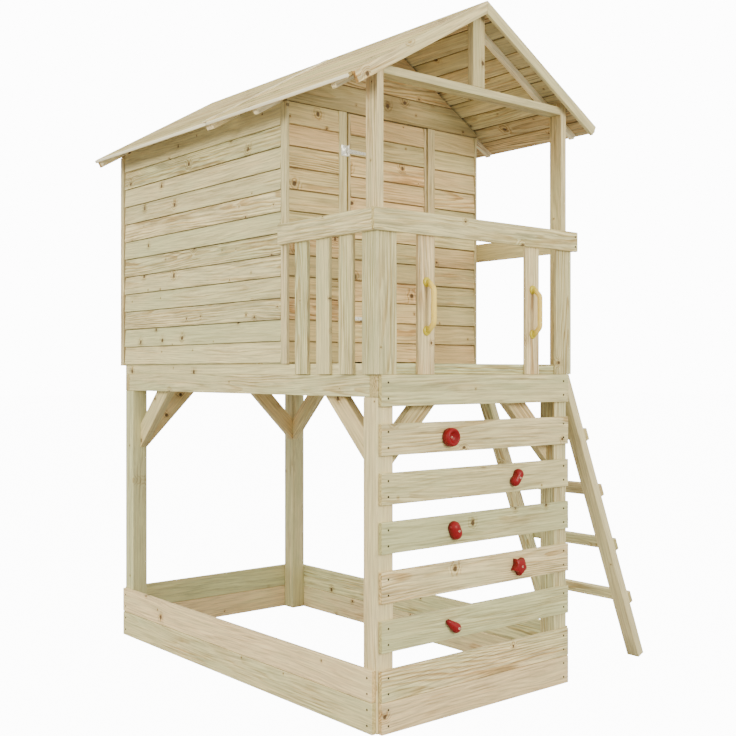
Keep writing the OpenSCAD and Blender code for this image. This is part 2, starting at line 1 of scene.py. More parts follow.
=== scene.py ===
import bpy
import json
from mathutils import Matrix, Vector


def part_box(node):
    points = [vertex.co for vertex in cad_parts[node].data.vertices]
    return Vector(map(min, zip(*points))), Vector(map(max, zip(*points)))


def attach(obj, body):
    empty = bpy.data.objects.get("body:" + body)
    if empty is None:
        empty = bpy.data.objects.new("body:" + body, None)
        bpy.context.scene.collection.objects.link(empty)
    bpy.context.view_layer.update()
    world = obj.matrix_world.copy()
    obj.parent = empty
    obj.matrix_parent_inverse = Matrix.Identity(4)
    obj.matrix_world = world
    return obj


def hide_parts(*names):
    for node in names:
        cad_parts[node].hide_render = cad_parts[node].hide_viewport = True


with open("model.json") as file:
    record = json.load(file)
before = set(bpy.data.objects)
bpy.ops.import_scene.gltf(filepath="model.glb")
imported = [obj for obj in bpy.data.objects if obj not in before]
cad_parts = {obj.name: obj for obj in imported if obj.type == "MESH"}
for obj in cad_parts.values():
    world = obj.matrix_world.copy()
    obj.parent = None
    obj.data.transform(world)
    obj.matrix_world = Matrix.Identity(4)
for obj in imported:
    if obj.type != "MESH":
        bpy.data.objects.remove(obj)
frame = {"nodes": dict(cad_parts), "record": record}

"""Dresses a wooden climbing frame: a gabled cabin on posts, with a balcony, a climbing wall,
a ladder and a sandpit. Lengths are in metres, in the frame of the solids."""

import json
import logging
import math
import random
from dataclasses import dataclass
from enum import Enum
from typing import Union

import bmesh
import bpy
import numpy as np
from mathutils import Matrix, Vector

LOG = logging.getLogger("climbing_frame")
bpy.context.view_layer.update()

Pair = tuple[float, float]
Triple = tuple[float, float, float]
RGB = Triple
Seeded = tuple[tuple[str, int], ...]
Socket = bpy.types.NodeSocket
Value = Union[float, Socket]

LEFT, RIGHT, BACK = -math.pi / 2, math.pi / 2, math.pi
NO_LIMITS: Pair = (-math.inf, math.inf)
NOISE_RANGE: Pair = (0.2, 0.8)


def srgb(red: int, green: int, blue: int) -> RGB:
    """Turn screen colours from 0 to 255 into linear ones."""
    shares = (red / 255.0, green / 255.0, blue / 255.0)
    return tuple(s / 12.92 if s <= 0.04045 else ((s + 0.055) / 1.055) ** 2.4 for s in shares)


class NodePen:
    """Short calls that add nodes to one tree and wire them."""

    def __init__(self, tree: bpy.types.NodeTree) -> None:
        """Hold the tree that the calls write to."""
        self.tree = tree

    def put(self, target: Socket, value: object) -> None:
        """Wire a socket to another one, or set its own value."""
        if isinstance(value, bpy.types.NodeSocket):
            self.tree.links.new(value, target)
        else:
            target.default_value = value

    def node(self, kind: str, given: dict | None = None, **settings: object) -> bpy.types.Node:
        """Add a node.

        Args:
            kind: Blender's name of the node's type.
            given: Values or sockets for its inputs, by name or number.
            settings: Properties of the node to set.

        Returns:
            The new node.
        """
        made = self.tree.nodes.new(kind)
        for name, value in settings.items():
            setattr(made, name, value)
        for key, value in (given or {}).items():
            self.put(made.inputs[key], value)
        return made

    def math(self, operation: str, first: Value, second: Value = 0.0) -> Socket:
        """Do a sum with two numbers."""
        return self.node("ShaderNodeMath", {0: first, 1: second}, operation=operation).outputs[0]

    def weigh(self, *terms: tuple[Socket, Value]) -> Socket:
        """Add up numbers, each times its share.

        Args:
            terms: The sockets with their shares.

        Returns:
            The socket with the sum.
        """
        total, *others = [self.math("MULTIPLY", value, share) for value, share in terms]
        for other in others:
            total = self.math("ADD", total, other)
        return total

    def span(self, value: Value, low: Value, high: Value, start: float = 0.0, end: float = 1.0) -> Socket:
        """Map a number smoothly from the range low to high to the range start to end, held at both ends."""
        given = dict(enumerate((value, low, high, start, end)))
        return self.node("ShaderNodeMapRange", given, interpolation_type="SMOOTHSTEP").outputs[0]

    def mix(self, share: Value, first: object, second: object, blend: str = "MIX") -> Socket:
        """Mix two colours.

        Args:
            share: Share of the second colour.
            first: First colour or socket.
            second: Second colour or socket.
            blend: How the two are put together.

        Returns:
            The socket with the colour.
        """
        first, second = ((*tone, 1.0) if isinstance(tone, tuple) else tone for tone in (first, second))
        given = {0: share, 6: first, 7: second}
        return self.node("ShaderNodeMix", given, data_type="RGBA", blend_type=blend).outputs[2]

    def stretch(self, vector: Socket, factors: Triple) -> Socket:
        """Multiply a vector by a factor for each axis."""
        return self.node("ShaderNodeVectorMath", {0: vector, 1: factors}, operation="MULTIPLY").outputs[0]

    def noise(self, vector: Socket, scale: float, detail: float = 2.0, rough: float = 0.5) -> Socket:
        """Add a noise of about 0.5 on average, with its scale in waves per metre."""
        given = {"Vector": vector, "Scale": scale, "Detail": detail, "Roughness": rough}
        return self.node("ShaderNodeTexNoise", given).outputs[0]

    def split(self, kind: str, value: Socket) -> tuple[Socket, ...]:
        """Split a value of the kind Color or XYZ into its three numbers."""
        return tuple(self.node("ShaderNodeSeparate" + kind, {0: value}).outputs)

    def attribute(self, name: str) -> bpy.types.NodeOutputs:
        """Read a named attribute of the piece."""
        return self.node("ShaderNodeAttribute", attribute_name=name).outputs

    def relief(self, shader: bpy.types.Node, height: Socket, strength: float, distance: float) -> None:
        """Wire a height pattern into a shader's normal."""
        bump = self.node("ShaderNodeBump", {"Strength": strength, "Distance": distance, "Height": height})
        self.put(shader.inputs["Normal"], bump.outputs[0])


@dataclass(frozen=True)
class PineGrain:
    """The pattern of sawn pine that all boards share: rings, fibre, knots and slow changes of tone.

    Waves are per metre along and across the grain. Layers are a noise's detail and roughness.
    """

    name: str = "pine_grain"
    knot_cells: float = 6.0
    knot_radius: Pair = (0.018, 0.07)
    knot_rim: Pair = (1.15, 0.7)
    halo_rim: Pair = (4.0, 0.6)
    ragged_waves: float = 60.0
    ragged_reach: float = 0.25
    slow_waves: Triple = (0.6, 4.0, 4.0)
    slow_layers: Pair = (1.0, 0.5)
    slow_bend: float = 0.026
    fine_waves: Triple = (4.0, 26.0, 26.0)
    fine_layers: Pair = (2.0, 0.5)
    fine_bend: float = 0.004
    halo_bend: float = 0.022
    late_rise: Pair = (0.3, 0.8)
    late_fall: Pair = (1.0, 0.88)
    fibre_waves: Triple = (4.0, 125.0, 125.0)
    fibre_layers: Pair = (4.0, 0.72)
    tone_waves: Triple = (2.0, 9.0, 9.0)
    tone_layers: Pair = (3.0, 0.55)
    patch_waves: Triple = (2.2, 10.0, 10.0)
    patch_layers: Pair = (3.0, 0.6)
    ring_height: float = 0.4
    fibre_height: float = 0.6

    def tree(self) -> bpy.types.NodeTree:
        """Return the shader node group, made at its first use."""
        made = bpy.data.node_groups.get(self.name)
        if made is None:
            made = bpy.data.node_groups.new(self.name, "ShaderNodeTree")
            for name, kind in (("Grain", "Vector"), ("Ring Step", "Float"), ("Knot Share", "Float")):
                made.interface.new_socket(name, in_out="INPUT", socket_type="NodeSocket" + kind)
            for name in ("Rings", "Fibre", "Knot", "Halo", "Tone", "Patch", "Height"):
                made.interface.new_socket(name, in_out="OUTPUT", socket_type="NodeSocketFloat")
            self.wire(NodePen(made))
        return made

    def wire(self, pen: NodePen) -> None:
        """Wire the patterns from the group's inputs to its outputs."""
        given = pen.node("NodeGroupInput").outputs
        grain = given["Grain"]
        knot, halo = self.knots(pen, grain, given["Knot Share"])
        slow = self.pattern(pen, grain, self.slow_waves, self.slow_layers)
        fine = self.pattern(pen, grain, self.fine_waves, self.fine_layers)
        bend = pen.math("ADD", pen.span(slow, *NOISE_RANGE, -self.slow_bend, self.slow_bend),
                        pen.span(fine, *NOISE_RANGE, -self.fine_bend, self.fine_bend))
        pith = pen.node("ShaderNodeVectorMath", {0: pen.stretch(grain, (0.0, 1.0, 1.0))}, operation="LENGTH")
        depth = pen.math("ADD", pith.outputs["Value"], bend)
        depth = pen.math("ADD", depth, pen.math("MULTIPLY", halo, self.halo_bend))
        year = pen.math("FRACT", pen.math("DIVIDE", depth, given["Ring Step"]))
        rings = pen.math("MULTIPLY", pen.span(year, *self.late_rise), pen.span(year, *self.late_fall))
        sway = pen.node("ShaderNodeCombineXYZ", {1: bend}).outputs[0]
        line = pen.node("ShaderNodeVectorMath", {0: grain, 1: sway}, operation="ADD").outputs[0]
        fibre = self.pattern(pen, line, self.fibre_waves, self.fibre_layers)
        pen.node("NodeGroupOutput", {
            "Rings": rings, "Fibre": fibre, "Knot": knot, "Halo": halo,
            "Tone": self.pattern(pen, grain, self.tone_waves, self.tone_layers),
            "Patch": self.pattern(pen, grain, self.patch_waves, self.patch_layers),
            "Height": pen.weigh((rings, self.ring_height), (fibre, self.fibre_height))})

    @staticmethod
    def pattern(pen: NodePen, grain: Socket, waves: Triple, layers: Pair) -> Socket:
        """Add a noise that is drawn out along the grain."""
        return pen.noise(pen.stretch(grain, waves), 1.0, *layers)

    def knots(self, pen: NodePen, grain: Socket, share: Socket) -> tuple[Socket, Socket]:
        """Scatter knots over the boards.

        Args:
            pen: Where the nodes go.
            grain: The place in the board.
            share: Share of the cells that hold a knot.

        Returns:
            Masks of the knots and of the wood that bends round them.
        """
        given = {"Vector": grain, "Scale": self.knot_cells}
        cells = pen.node("ShaderNodeTexVoronoi", given, voronoi_dimensions="2D").outputs
        chance, wide, _ = pen.split("Color", cells["Color"])
        present = pen.math("LESS_THAN", chance, share)
        radius = pen.span(wide, 0.0, 1.0, *self.knot_radius)
        noise = pen.noise(grain, self.ragged_waves)
        ragged = pen.span(noise, *NOISE_RANGE, -self.ragged_reach, self.ragged_reach)
        reach = pen.math("ADD", pen.math("DIVIDE", cells["Distance"], radius), ragged)
        rims = (self.knot_rim, self.halo_rim)
        return tuple(pen.math("MULTIPLY", pen.span(reach, *rim), present) for rim in rims)


class Finish:
    """A surface that can put its material on a piece."""

    name: str

    def material(self) -> bpy.types.Material:
        """Return the finish's material, made at its first use."""
        made = bpy.data.materials.get(self.name)
        if made is None:
            made = bpy.data.materials.new(self.name)
            made.use_nodes = True
            made.node_tree.nodes.clear()
            pen = NodePen(made.node_tree)
            shader = pen.node("ShaderNodeBsdfPrincipled")
            pen.node("ShaderNodeOutputMaterial", {"Surface": shader.outputs[0]})
            self.paint(pen, shader)
        return made

    def paint(self, pen: NodePen, shader: bpy.types.Node) -> None:
        """Wire the finish's own pattern into the shader."""
        raise NotImplementedError


@dataclass(frozen=True)
class Pine(Finish):
    """Planed, pressure treated pine, whose grain follows each board.

    Spans are the ranges over which a mask rises. Mixes are the shares of what a mask is made of.
    """

    name: str
    pale: RGB = srgb(216, 204, 158)
    green: RGB = srgb(196, 202, 156)
    pink: RGB = srgb(232, 203, 162)
    late: RGB = (0.63, 0.5, 0.37)
    knot: RGB = srgb(88, 68, 45)
    # pale_edge_and_highlight: the paler colour of planed edges; on the roof's eave it is near white and
    # serves as a painted highlight.
    pale_edge_and_highlight: RGB = srgb(244, 232, 190)
    end_grain: RGB = (0.86, 0.8, 0.68)
    # seam: painted shade, multiplied onto the faces in joints, grooves and lap rebates.
    seam: RGB = (0.42, 0.37, 0.29)
    ring_step: float = 0.011
    ring_share: float = 0.9
    green_share: float = 0.6
    pink_share: float = 0.45
    knot_share: float = 0.5
    edge_share: float = 0.2
    # shade: brightness factor of a kind; for the gables and braces it carries painted shade and painted
    # light.
    shade: float = 1.0
    green_mix: Pair = (0.35, 0.85)
    green_span: Pair = (0.44, 0.78)
    pink_mix: Pair = (0.6, 0.7)
    pink_span: Pair = (0.55, 0.95)
    figure_mix: Triple = (0.35, 0.9, 0.3)
    ring_span: Pair = (0.52, 0.86)
    ring_least: float = 0.15
    wild_span: Pair = (0.45, 0.85)
    wild_gain: Pair = (0.55, 1.15)
    fibre_span: Pair = (0.28, 0.72)
    fibre_gain: Pair = (-0.46, 0.39)
    tint: Pair = (0.9, 1.08)
    halo_depth: float = 0.36
    knot_depth: float = 0.92
    rough: Pair = (0.7, 0.54)
    sheen: float = 0.25
    relief: Pair = (0.4, 0.001)

    def paint(self, pen: NodePen, shader: bpy.types.Node) -> None:
        """Wire tones, rings, fibre, knots, pale edges (a painted highlight on the roof's eave) and painted
        shade in the seams into the shader.
        """
        board = pen.attribute("board")
        light, damp, warm = pen.split("Color", board["Color"])
        edge, end, seam = pen.split("XYZ", pen.attribute("cut")["Vector"])
        given = {"Grain": pen.attribute("grain")["Vector"], "Ring Step": self.ring_step,
                 "Knot Share": self.knot_share}
        out = pen.node("ShaderNodeGroup", given, node_tree=PineGrain().tree()).outputs

        damp = pen.weigh(*zip((damp, out["Tone"]), self.green_mix))
        colour = pen.mix(pen.span(damp, *self.green_span, 0.0, self.green_share), self.pale, self.green)
        warm = pen.weigh(*zip((warm, out["Patch"]), self.pink_mix))
        colour = pen.mix(pen.span(warm, *self.pink_span, 0.0, self.pink_share), colour, self.pink)
        figure = pen.weigh(*zip((board["Alpha"], out["Patch"], out["Halo"]), self.figure_mix))
        band = pen.span(figure, *self.ring_span, self.ring_least * self.ring_share, self.ring_share)
        colour = pen.mix(pen.math("MULTIPLY", out["Rings"], band), colour, self.late, "MULTIPLY")
        wild = pen.span(figure, *self.wild_span, *self.wild_gain)
        fibre = pen.span(out["Fibre"], *self.fibre_span, *self.fibre_gain)
        streak = pen.math("ADD", pen.math("MULTIPLY", fibre, wild), 1.0)
        light = pen.span(light, 0.0, 1.0, *(gain * self.shade for gain in self.tint))
        tint = pen.math("MULTIPLY", streak, light)
        grey = pen.node("ShaderNodeCombineColor", dict.fromkeys(range(3), tint)).outputs[0]
        colour = pen.mix(1.0, colour, grey, "MULTIPLY")
        colour = pen.mix(pen.math("MULTIPLY", out["Halo"], self.halo_depth), colour, self.late, "MULTIPLY")
        colour = pen.mix(pen.math("MULTIPLY", out["Knot"], self.knot_depth), colour, self.knot)
        # Pale planed edges; at full share on the roof's eave this is a painted highlight.
        colour = pen.mix(pen.math("MULTIPLY", edge, self.edge_share), colour, self.pale_edge_and_highlight)
        colour = pen.mix(end, colour, self.end_grain, "MULTIPLY")
        # Painted shade in joints and grooves: the seam faces are multiplied darker.
        pen.put(shader.inputs["Base Color"], pen.mix(seam, colour, self.seam, "MULTIPLY"))
        pen.put(shader.inputs["Roughness"], pen.span(out["Fibre"], *NOISE_RANGE, *self.rough))
        shader.inputs["Specular IOR Level"].default_value = self.sheen
        pen.relief(shader, out["Height"], *self.relief)


@dataclass(frozen=True)
class Moulded(Finish):
    """Moulded gloss plastic with a slight orange peel and handling marks."""

    name: str
    main: RGB
    worn: RGB
    # foot: darker colour towards the part's foot, where it meets the wood: painted shade.
    foot: RGB
    foot_y: Pair
    rough: float
    gloss: float
    drift_waves: float = 38.0
    drift_span: Pair = (0.35, 0.75)
    worn_share: float = 0.55
    mark_waves: float = 160.0
    mark_stretch: Triple = (1.0, 1.0, 5.0)
    mark_span: Pair = (0.3, 0.7)
    mark_gain: Pair = (-0.07, 0.12)
    peel_waves: float = 520.0
    relief: Pair = (0.2, 0.0005)

    def paint(self, pen: NodePen, shader: bpy.types.Node) -> None:
        """Wire the peel, the marks, the colour drift and the painted shade that darkens the part towards its
        foot, where it meets the wood, into the shader.
        """
        place = pen.node("ShaderNodeTexCoord").outputs["Object"]
        drift = pen.noise(place, self.drift_waves, 3.0)
        marks = pen.noise(pen.stretch(place, self.mark_stretch), self.mark_waves)
        colour = pen.mix(pen.span(drift, *self.drift_span, 0.0, self.worn_share), self.main, self.worn)
        # Painted shade: the colour darkens towards the foot.
        foot = pen.span(pen.split("XYZ", place)[1], *self.foot_y)
        pen.put(shader.inputs["Base Color"], pen.mix(foot, colour, self.foot))
        rough = (self.rough + gain for gain in self.mark_gain)
        pen.put(shader.inputs["Roughness"], pen.span(marks, *self.mark_span, *rough))
        shader.inputs["Specular IOR Level"].default_value = self.gloss
        pen.relief(shader, pen.noise(place, self.peel_waves, 1.0), *self.relief)


@dataclass(frozen=True)
class ZincPlate(Finish):
    """Zinc plated steel with dull spangles."""

    name: str
    bright: RGB
    dull: RGB
    rough: float
    metal: float
    spangle_cells: float = 260.0
    stain_waves: float = 90.0
    dull_mix: Pair = (0.45, 0.6)
    dull_span: Pair = (0.2, 0.9)
    dull_gain: Pair = (-0.1, 0.15)

    def paint(self, pen: NodePen, shader: bpy.types.Node) -> None:
        """Wire the spangles and the stains into the shader."""
        place = pen.node("ShaderNodeTexCoord").outputs["Object"]
        cells = pen.node("ShaderNodeTexVoronoi", {"Vector": place, "Scale": self.spangle_cells}).outputs
        spangle = pen.split("Color", cells["Color"])[0]
        share = pen.weigh(*zip((spangle, pen.noise(place, self.stain_waves, 3.0)), self.dull_mix))
        pen.put(shader.inputs["Base Color"], pen.mix(share, self.bright, self.dull))
        rough = (self.rough + gain for gain in self.dull_gain)
        pen.put(shader.inputs["Roughness"], pen.span(share, *self.dull_span, *rough))
        shader.inputs["Metallic"].default_value = self.metal


@dataclass(frozen=True)
class PaleFloor(Finish):
    """The plain pale floor under the object."""

    name: str = "pale_floor"
    tone: RGB = (0.38, 0.38, 0.38)
    rough: float = 0.9
    sheen: float = 0.1
    glow: float = 12.0

    def paint(self, pen: NodePen, shader: bpy.types.Node) -> None:
        """Set the floor's plain colour and the glow that makes it white."""
        shader.inputs["Base Color"].default_value = (*self.tone, 1.0)
        shader.inputs["Roughness"].default_value = self.rough
        shader.inputs["Specular IOR Level"].default_value = self.sheen
        shader.inputs["Emission Color"].default_value = (1.0, 1.0, 1.0, 1.0)
        seen = pen.node("ShaderNodeLightPath").outputs["Is Camera Ray"]
        pen.put(shader.inputs["Emission Strength"], pen.math("MULTIPLY", seen, self.glow))


class Timber(Enum):
    """The kinds of board that the frame is made of."""

    POST = Pine("pine_post")
    UPPER = Pine("pine_upper", pale=srgb(218, 199, 152), ring_share=0.5, green_share=0.4, shade=0.92)
    # BRACE: lighter and warmer than the posts: painted bounce light on the braces in the shade under the
    # deck; the right rail takes it too.
    BRACE = Pine("pine_brace", pale=srgb(226, 202, 154), pink=srgb(238, 200, 152), green_share=0.4,
                 shade=1.1)
    BOARD = Pine("pine_board")
    PIT = Pine("pine_pit", pink_share=0.8, shade=1.06)
    RAIL = Pine("pine_rail", pink_share=0.3)
    SLAT = Pine("pine_slat", pink_share=0.7)
    TRIM = Pine("pine_trim", pale=srgb(222, 203, 160), green_share=0.3)
    STRIP = Pine("pine_strip", pale=srgb(248, 238, 212), green_share=0.2, pink_share=0.3, shade=1.15)
    BARGE = Pine("pine_barge", pink_share=0.5, end_grain=(0.62, 0.45, 0.28))
    # LAP: the faces in the boards' rebate grooves take painted shade.
    LAP = Pine("pine_lap", seam=(0.6, 0.58, 0.58), green_share=0.5, pink_share=0.35, knot_share=0.75,
               edge_share=0.0)
    # PORCH_SHADE_LAP: the lap pine made warmer and pinker for the front wall and door under the porch roof:
    # painted warm bounce light of the shade there.
    PORCH_SHADE_LAP = Pine("pine_porch_shade_lap", pale=srgb(222, 199, 148), green=srgb(206, 198, 150),
                    pink=srgb(236, 199, 148), seam=(0.5, 0.47, 0.44), pink_share=0.8, edge_share=0.0,
                    shade=1.02)
    # GABLE: darker and warmer than the other pine: painted shade under the roof, with a warm painted bounce.
    GABLE = Pine("pine_gable", pale=srgb(218, 190, 138), green=srgb(196, 188, 140),
                 pink=srgb(232, 194, 142), pink_share=0.8, knot_share=0.8, shade=0.82)
    # ROOF: its eave edges take the pale edge colour in full, a painted highlight.
    ROOF = Pine("pine_roof", pale=srgb(212, 193, 138), green=srgb(198, 190, 140), late=(0.5, 0.39, 0.29),
                pale_edge_and_highlight=srgb(255, 246, 220), ring_share=1.0, pink_share=0.4, edge_share=1.0, shade=1.14)
    # SHADED_SOFFIT: a darker copy of the roof's pine for the downward faces of the roof boards, painted
    # shade, with near black painted shade in its seams.
    SHADED_SOFFIT = Pine("pine_shaded_soffit", pale=srgb(216, 194, 150), green=srgb(196, 190, 148),
                  seam=(0.16, 0.13, 0.09), edge_share=0.0)
    INNER = Pine("pine_inner", green_share=0.4, knot_share=0.6, shade=0.9)


RED_HOLD = Moulded("red_hold", main=srgb(142, 14, 24), worn=srgb(126, 9, 18), foot=srgb(98, 4, 10),
                   foot_y=(-1.092, -1.062), rough=0.34, gloss=0.3)
YELLOW_GRIP = Moulded("yellow_grip", main=srgb(247, 213, 106), worn=srgb(240, 202, 86),
                      foot=srgb(206, 186, 44), foot_y=(-1.1, -1.075), rough=0.33, gloss=0.5)
HINGE_ZINC = ZincPlate("hinge_zinc", srgb(254, 254, 252), srgb(240, 240, 238), 0.3, 0.3)
# Bolt heads tinted pink: a painted reflection of the red holds round them.
BOLT_ZINC = ZincPlate("bolt_zinc", srgb(220, 186, 174), srgb(190, 154, 144), 0.4, 0.4)
SCREW_ZINC = ZincPlate("screw_zinc", srgb(92, 84, 68), srgb(58, 52, 42), 0.55, 0.9)


class Drive(Enum):
    """The recess that a fastener is driven by."""

    CROSS = "cross"
    HEX = "hex"


@dataclass(frozen=True)
class Fastener:
    """The head of a screw or bolt."""

    drive: Drive
    radius: float
    height: float
    finish: Finish


WOOD_SCREW = Fastener(Drive.CROSS, 0.0047, 0.0016, SCREW_ZINC)
HINGE_SCREW = Fastener(Drive.CROSS, 0.0036, 0.0012, HINGE_ZINC)
HOLD_BOLT = Fastener(Drive.HEX, 0.0062, 0.004, BOLT_ZINC)


class Cut(Enum):
    """How a board's cut edges are marked for the pale edge colour and for painted shade in the seams."""

    PLAIN = "plain"
    SEAM = "seam"
    LAP = "lap"
    ROOF = "roof"


@dataclass(frozen=True)
class Profile:
    """The cross section of a board: thinner towards its top, with a rebate along its upper edge."""

    taper: float = 0.0
    reveal: float = 0.0
    rebate: float = 0.0


@dataclass
class GrainMap:
    """Gives each board its own grain line, heart and tint, stored on its points."""

    seed: int
    facing: float = 0.8
    outward: float = 0.5
    eave_h: float = 0.02
    offset: Pair = (2.0, 60.0)
    aside: Pair = (-0.05, 0.05)
    depth: Pair = (0.012, 0.07)
    depth_share: float = 0.4
    post_t: float = 0.06
    post_share: float = 0.3

    def __post_init__(self) -> None:
        """Start the dice from the fixed seed."""
        self.dice = random.Random(self.seed)

    @staticmethod
    def boards(mesh: bmesh.types.BMesh) -> list[list[bmesh.types.BMVert]]:
        """Sort a mesh's points into its separate boards.

        Args:
            mesh: The mesh to sort.

        Returns:
            The points of each board, in the order of the mesh.
        """
        seen: set[int] = set()
        found: list[list[bmesh.types.BMVert]] = []
        for start in mesh.verts:
            if start.index in seen:
                continue
            seen.add(start.index)
            board, queue = [], [start]
            while queue:
                vert = queue.pop()
                board.append(vert)
                for edge in vert.link_edges:
                    other = edge.other_vert(vert)
                    if other.index not in seen:
                        seen.add(other.index)
                        queue.append(other)
            found.append(board)
        return found

    def marks(self, face: bmesh.types.BMFace, along: Vector, out: Vector, top: float, cut: Cut) -> Triple:
        """Tell a face's part of its board.

        Args:
            face: The face.
            along: The way that the grain runs.
            out: The way that the board's wide face looks.
            top: Height above which a lap board is rebated, or below which a roof board is an eave.
            cut: How the cut edges are marked.

        Returns:
            Masks for a planed edge (on a roof only the eave, which takes a painted highlight), an end, and a
            seam that takes painted shade.
        """
        height = face.calc_center_median().z
        end = abs(face.normal.dot(along)) > self.facing
        edge = not end and abs(face.normal.dot(out)) < self.facing
        # On a roof the eave edges take the pale edge colour as a painted highlight, and the other edges take
        # the painted shade of the seams.
        if cut is Cut.ROOF:
            eave = edge and height < top
            return float(eave), float(end), float(edge and not eave)
        # Faces inside a lap board's rebate groove take painted shade.
        groove = cut is Cut.LAP and not end and face.normal.dot(out) > self.outward and height > top
        return float(edge), float(end), float(groove or (edge and cut is not Cut.PLAIN))

    def heart(self, thick: float) -> Vector:
        """Throw the dice for where the heart of the tree lies beside a board.

        Args:
            thick: The board's thickness.

        Returns:
            The board's place in its tree.
        """
        offset, aside = self.dice.uniform(*self.offset), self.dice.uniform(*self.aside)
        side = self.dice.choice((-1.0, 1.0))
        found = Vector((offset, aside, side * (thick * self.depth_share + self.dice.uniform(*self.depth))))
        if thick > self.post_t:
            found.z *= self.post_share
        return found

    def write(self, data: bpy.types.Mesh, cut: Cut = Cut.PLAIN, reveal: float = 0.0) -> None:
        """Store the grain and tint of every board on the mesh.

        Args:
            data: The mesh of a dressed piece.
            cut: How the cut edges are marked.
            reveal: Height of the rebate along a lap board's upper edge.
        """
        mesh = bmesh.new()
        mesh.from_mesh(data)
        mesh.verts.index_update()
        mesh.faces.index_update()
        grain = np.zeros((len(mesh.verts), 3), np.float32)
        tint = np.ones((len(mesh.verts), 4), np.float32)
        marks = np.zeros((len(mesh.faces), 3), np.float32)
        eave = min(vert.co.z for vert in mesh.verts) + self.eave_h
        for board in self.boards(mesh):
            faces = sorted({face for vert in board for face in vert.link_faces}, key=lambda face: face.index)
            widest = max(faces, key=lambda face: round(face.calc_area(), 7))
            edge = max(widest.edges, key=lambda side: round(side.calc_length(), 5))
            along = (edge.verts[1].co - edge.verts[0].co).normalized()
            out = widest.normal.copy()
            axes = (along, out.cross(along), out)
            low = [min(vert.co.dot(axis) for vert in board) for axis in axes]
            high = [max(vert.co.dot(axis) for vert in board) for axis in axes]
            heart = self.heart(high[2] - low[2])
            top = eave if cut is Cut.ROOF else max(vert.co.z for vert in board) - reveal
            chance = [self.dice.random() for _ in range(4)]
            for vert in board:
                for k, axis in enumerate(axes):
                    grain[vert.index, k] = vert.co.dot(axis) - (low[k] + high[k]) / 2 + heart[k]
                tint[vert.index] = chance
            for face in faces:
                marks[face.index] = self.marks(face, along, out, top, cut)
        mesh.free()
        data.attributes.new("grain", "FLOAT_VECTOR", "POINT").data.foreach_set("vector", grain.ravel())
        data.attributes.new("board", "FLOAT_COLOR", "POINT").data.foreach_set("color", tint.ravel())
        data.attributes.new("cut", "FLOAT_VECTOR", "FACE").data.foreach_set("vector", marks.ravel())


class PieceTree:
    """A Geometry Nodes tree with named inputs that makes a piece of one finish."""

    INPUTS: dict[str, str] = {}

    def __init__(self, name: str) -> None:
        """Make the tree's sockets and wire its form to a finish."""
        self.tree = bpy.data.node_groups.new(name, "GeometryNodeTree")
        face = self.tree.interface
        face.new_socket("Geometry", in_out="OUTPUT", socket_type="NodeSocketGeometry")
        face.new_socket("Geometry", in_out="INPUT", socket_type="NodeSocketGeometry")
        self.keys = {key: face.new_socket(key, in_out="INPUT", socket_type="NodeSocket" + kind).identifier
                     for key, kind in (*self.INPUTS.items(), ("Finish", "Material"))}
        self.pen = NodePen(self.tree)
        self.given = self.pen.node("NodeGroupInput").outputs
        real = self.pen.node("GeometryNodeRealizeInstances", {0: self.form()}).outputs[0]
        given = {"Geometry": real, "Material": self.given["Finish"]}
        paint = self.pen.node("GeometryNodeSetMaterial", given).outputs[0]
        self.pen.node("NodeGroupOutput", {0: paint})

    def form(self) -> Socket:
        """Make the piece's form."""
        raise NotImplementedError

    def spread(self, points: Socket, body: Socket, angles: dict[int, Value]) -> Socket:
        """Set a turned copy of a body on each point.

        Args:
            points: The points.
            body: The body's geometry.
            angles: Turns about the axes that have one.

        Returns:
            The socket with the copies.
        """
        angle = self.pen.node("ShaderNodeCombineXYZ", angles).outputs[0]
        turn = self.pen.node("FunctionNodeEulerToRotation", {0: angle}).outputs[0]
        given = {"Points": points, "Instance": body, "Rotation": turn}
        return self.pen.node("GeometryNodeInstanceOnPoints", given).outputs[0]

    def run(self, piece: bpy.types.Object, finish: Finish, values: dict[str, object]) -> None:
        """Put the tree on a piece, with its inputs set.

        Args:
            piece: The piece.
            finish: The piece's finish.
            values: The other inputs by name.
        """
        work = piece.modifiers.new(self.tree.name, "NODES")
        work.node_group = self.tree
        for key, value in (*values.items(), ("Finish", finish.material())):
            work[self.keys[key]] = value


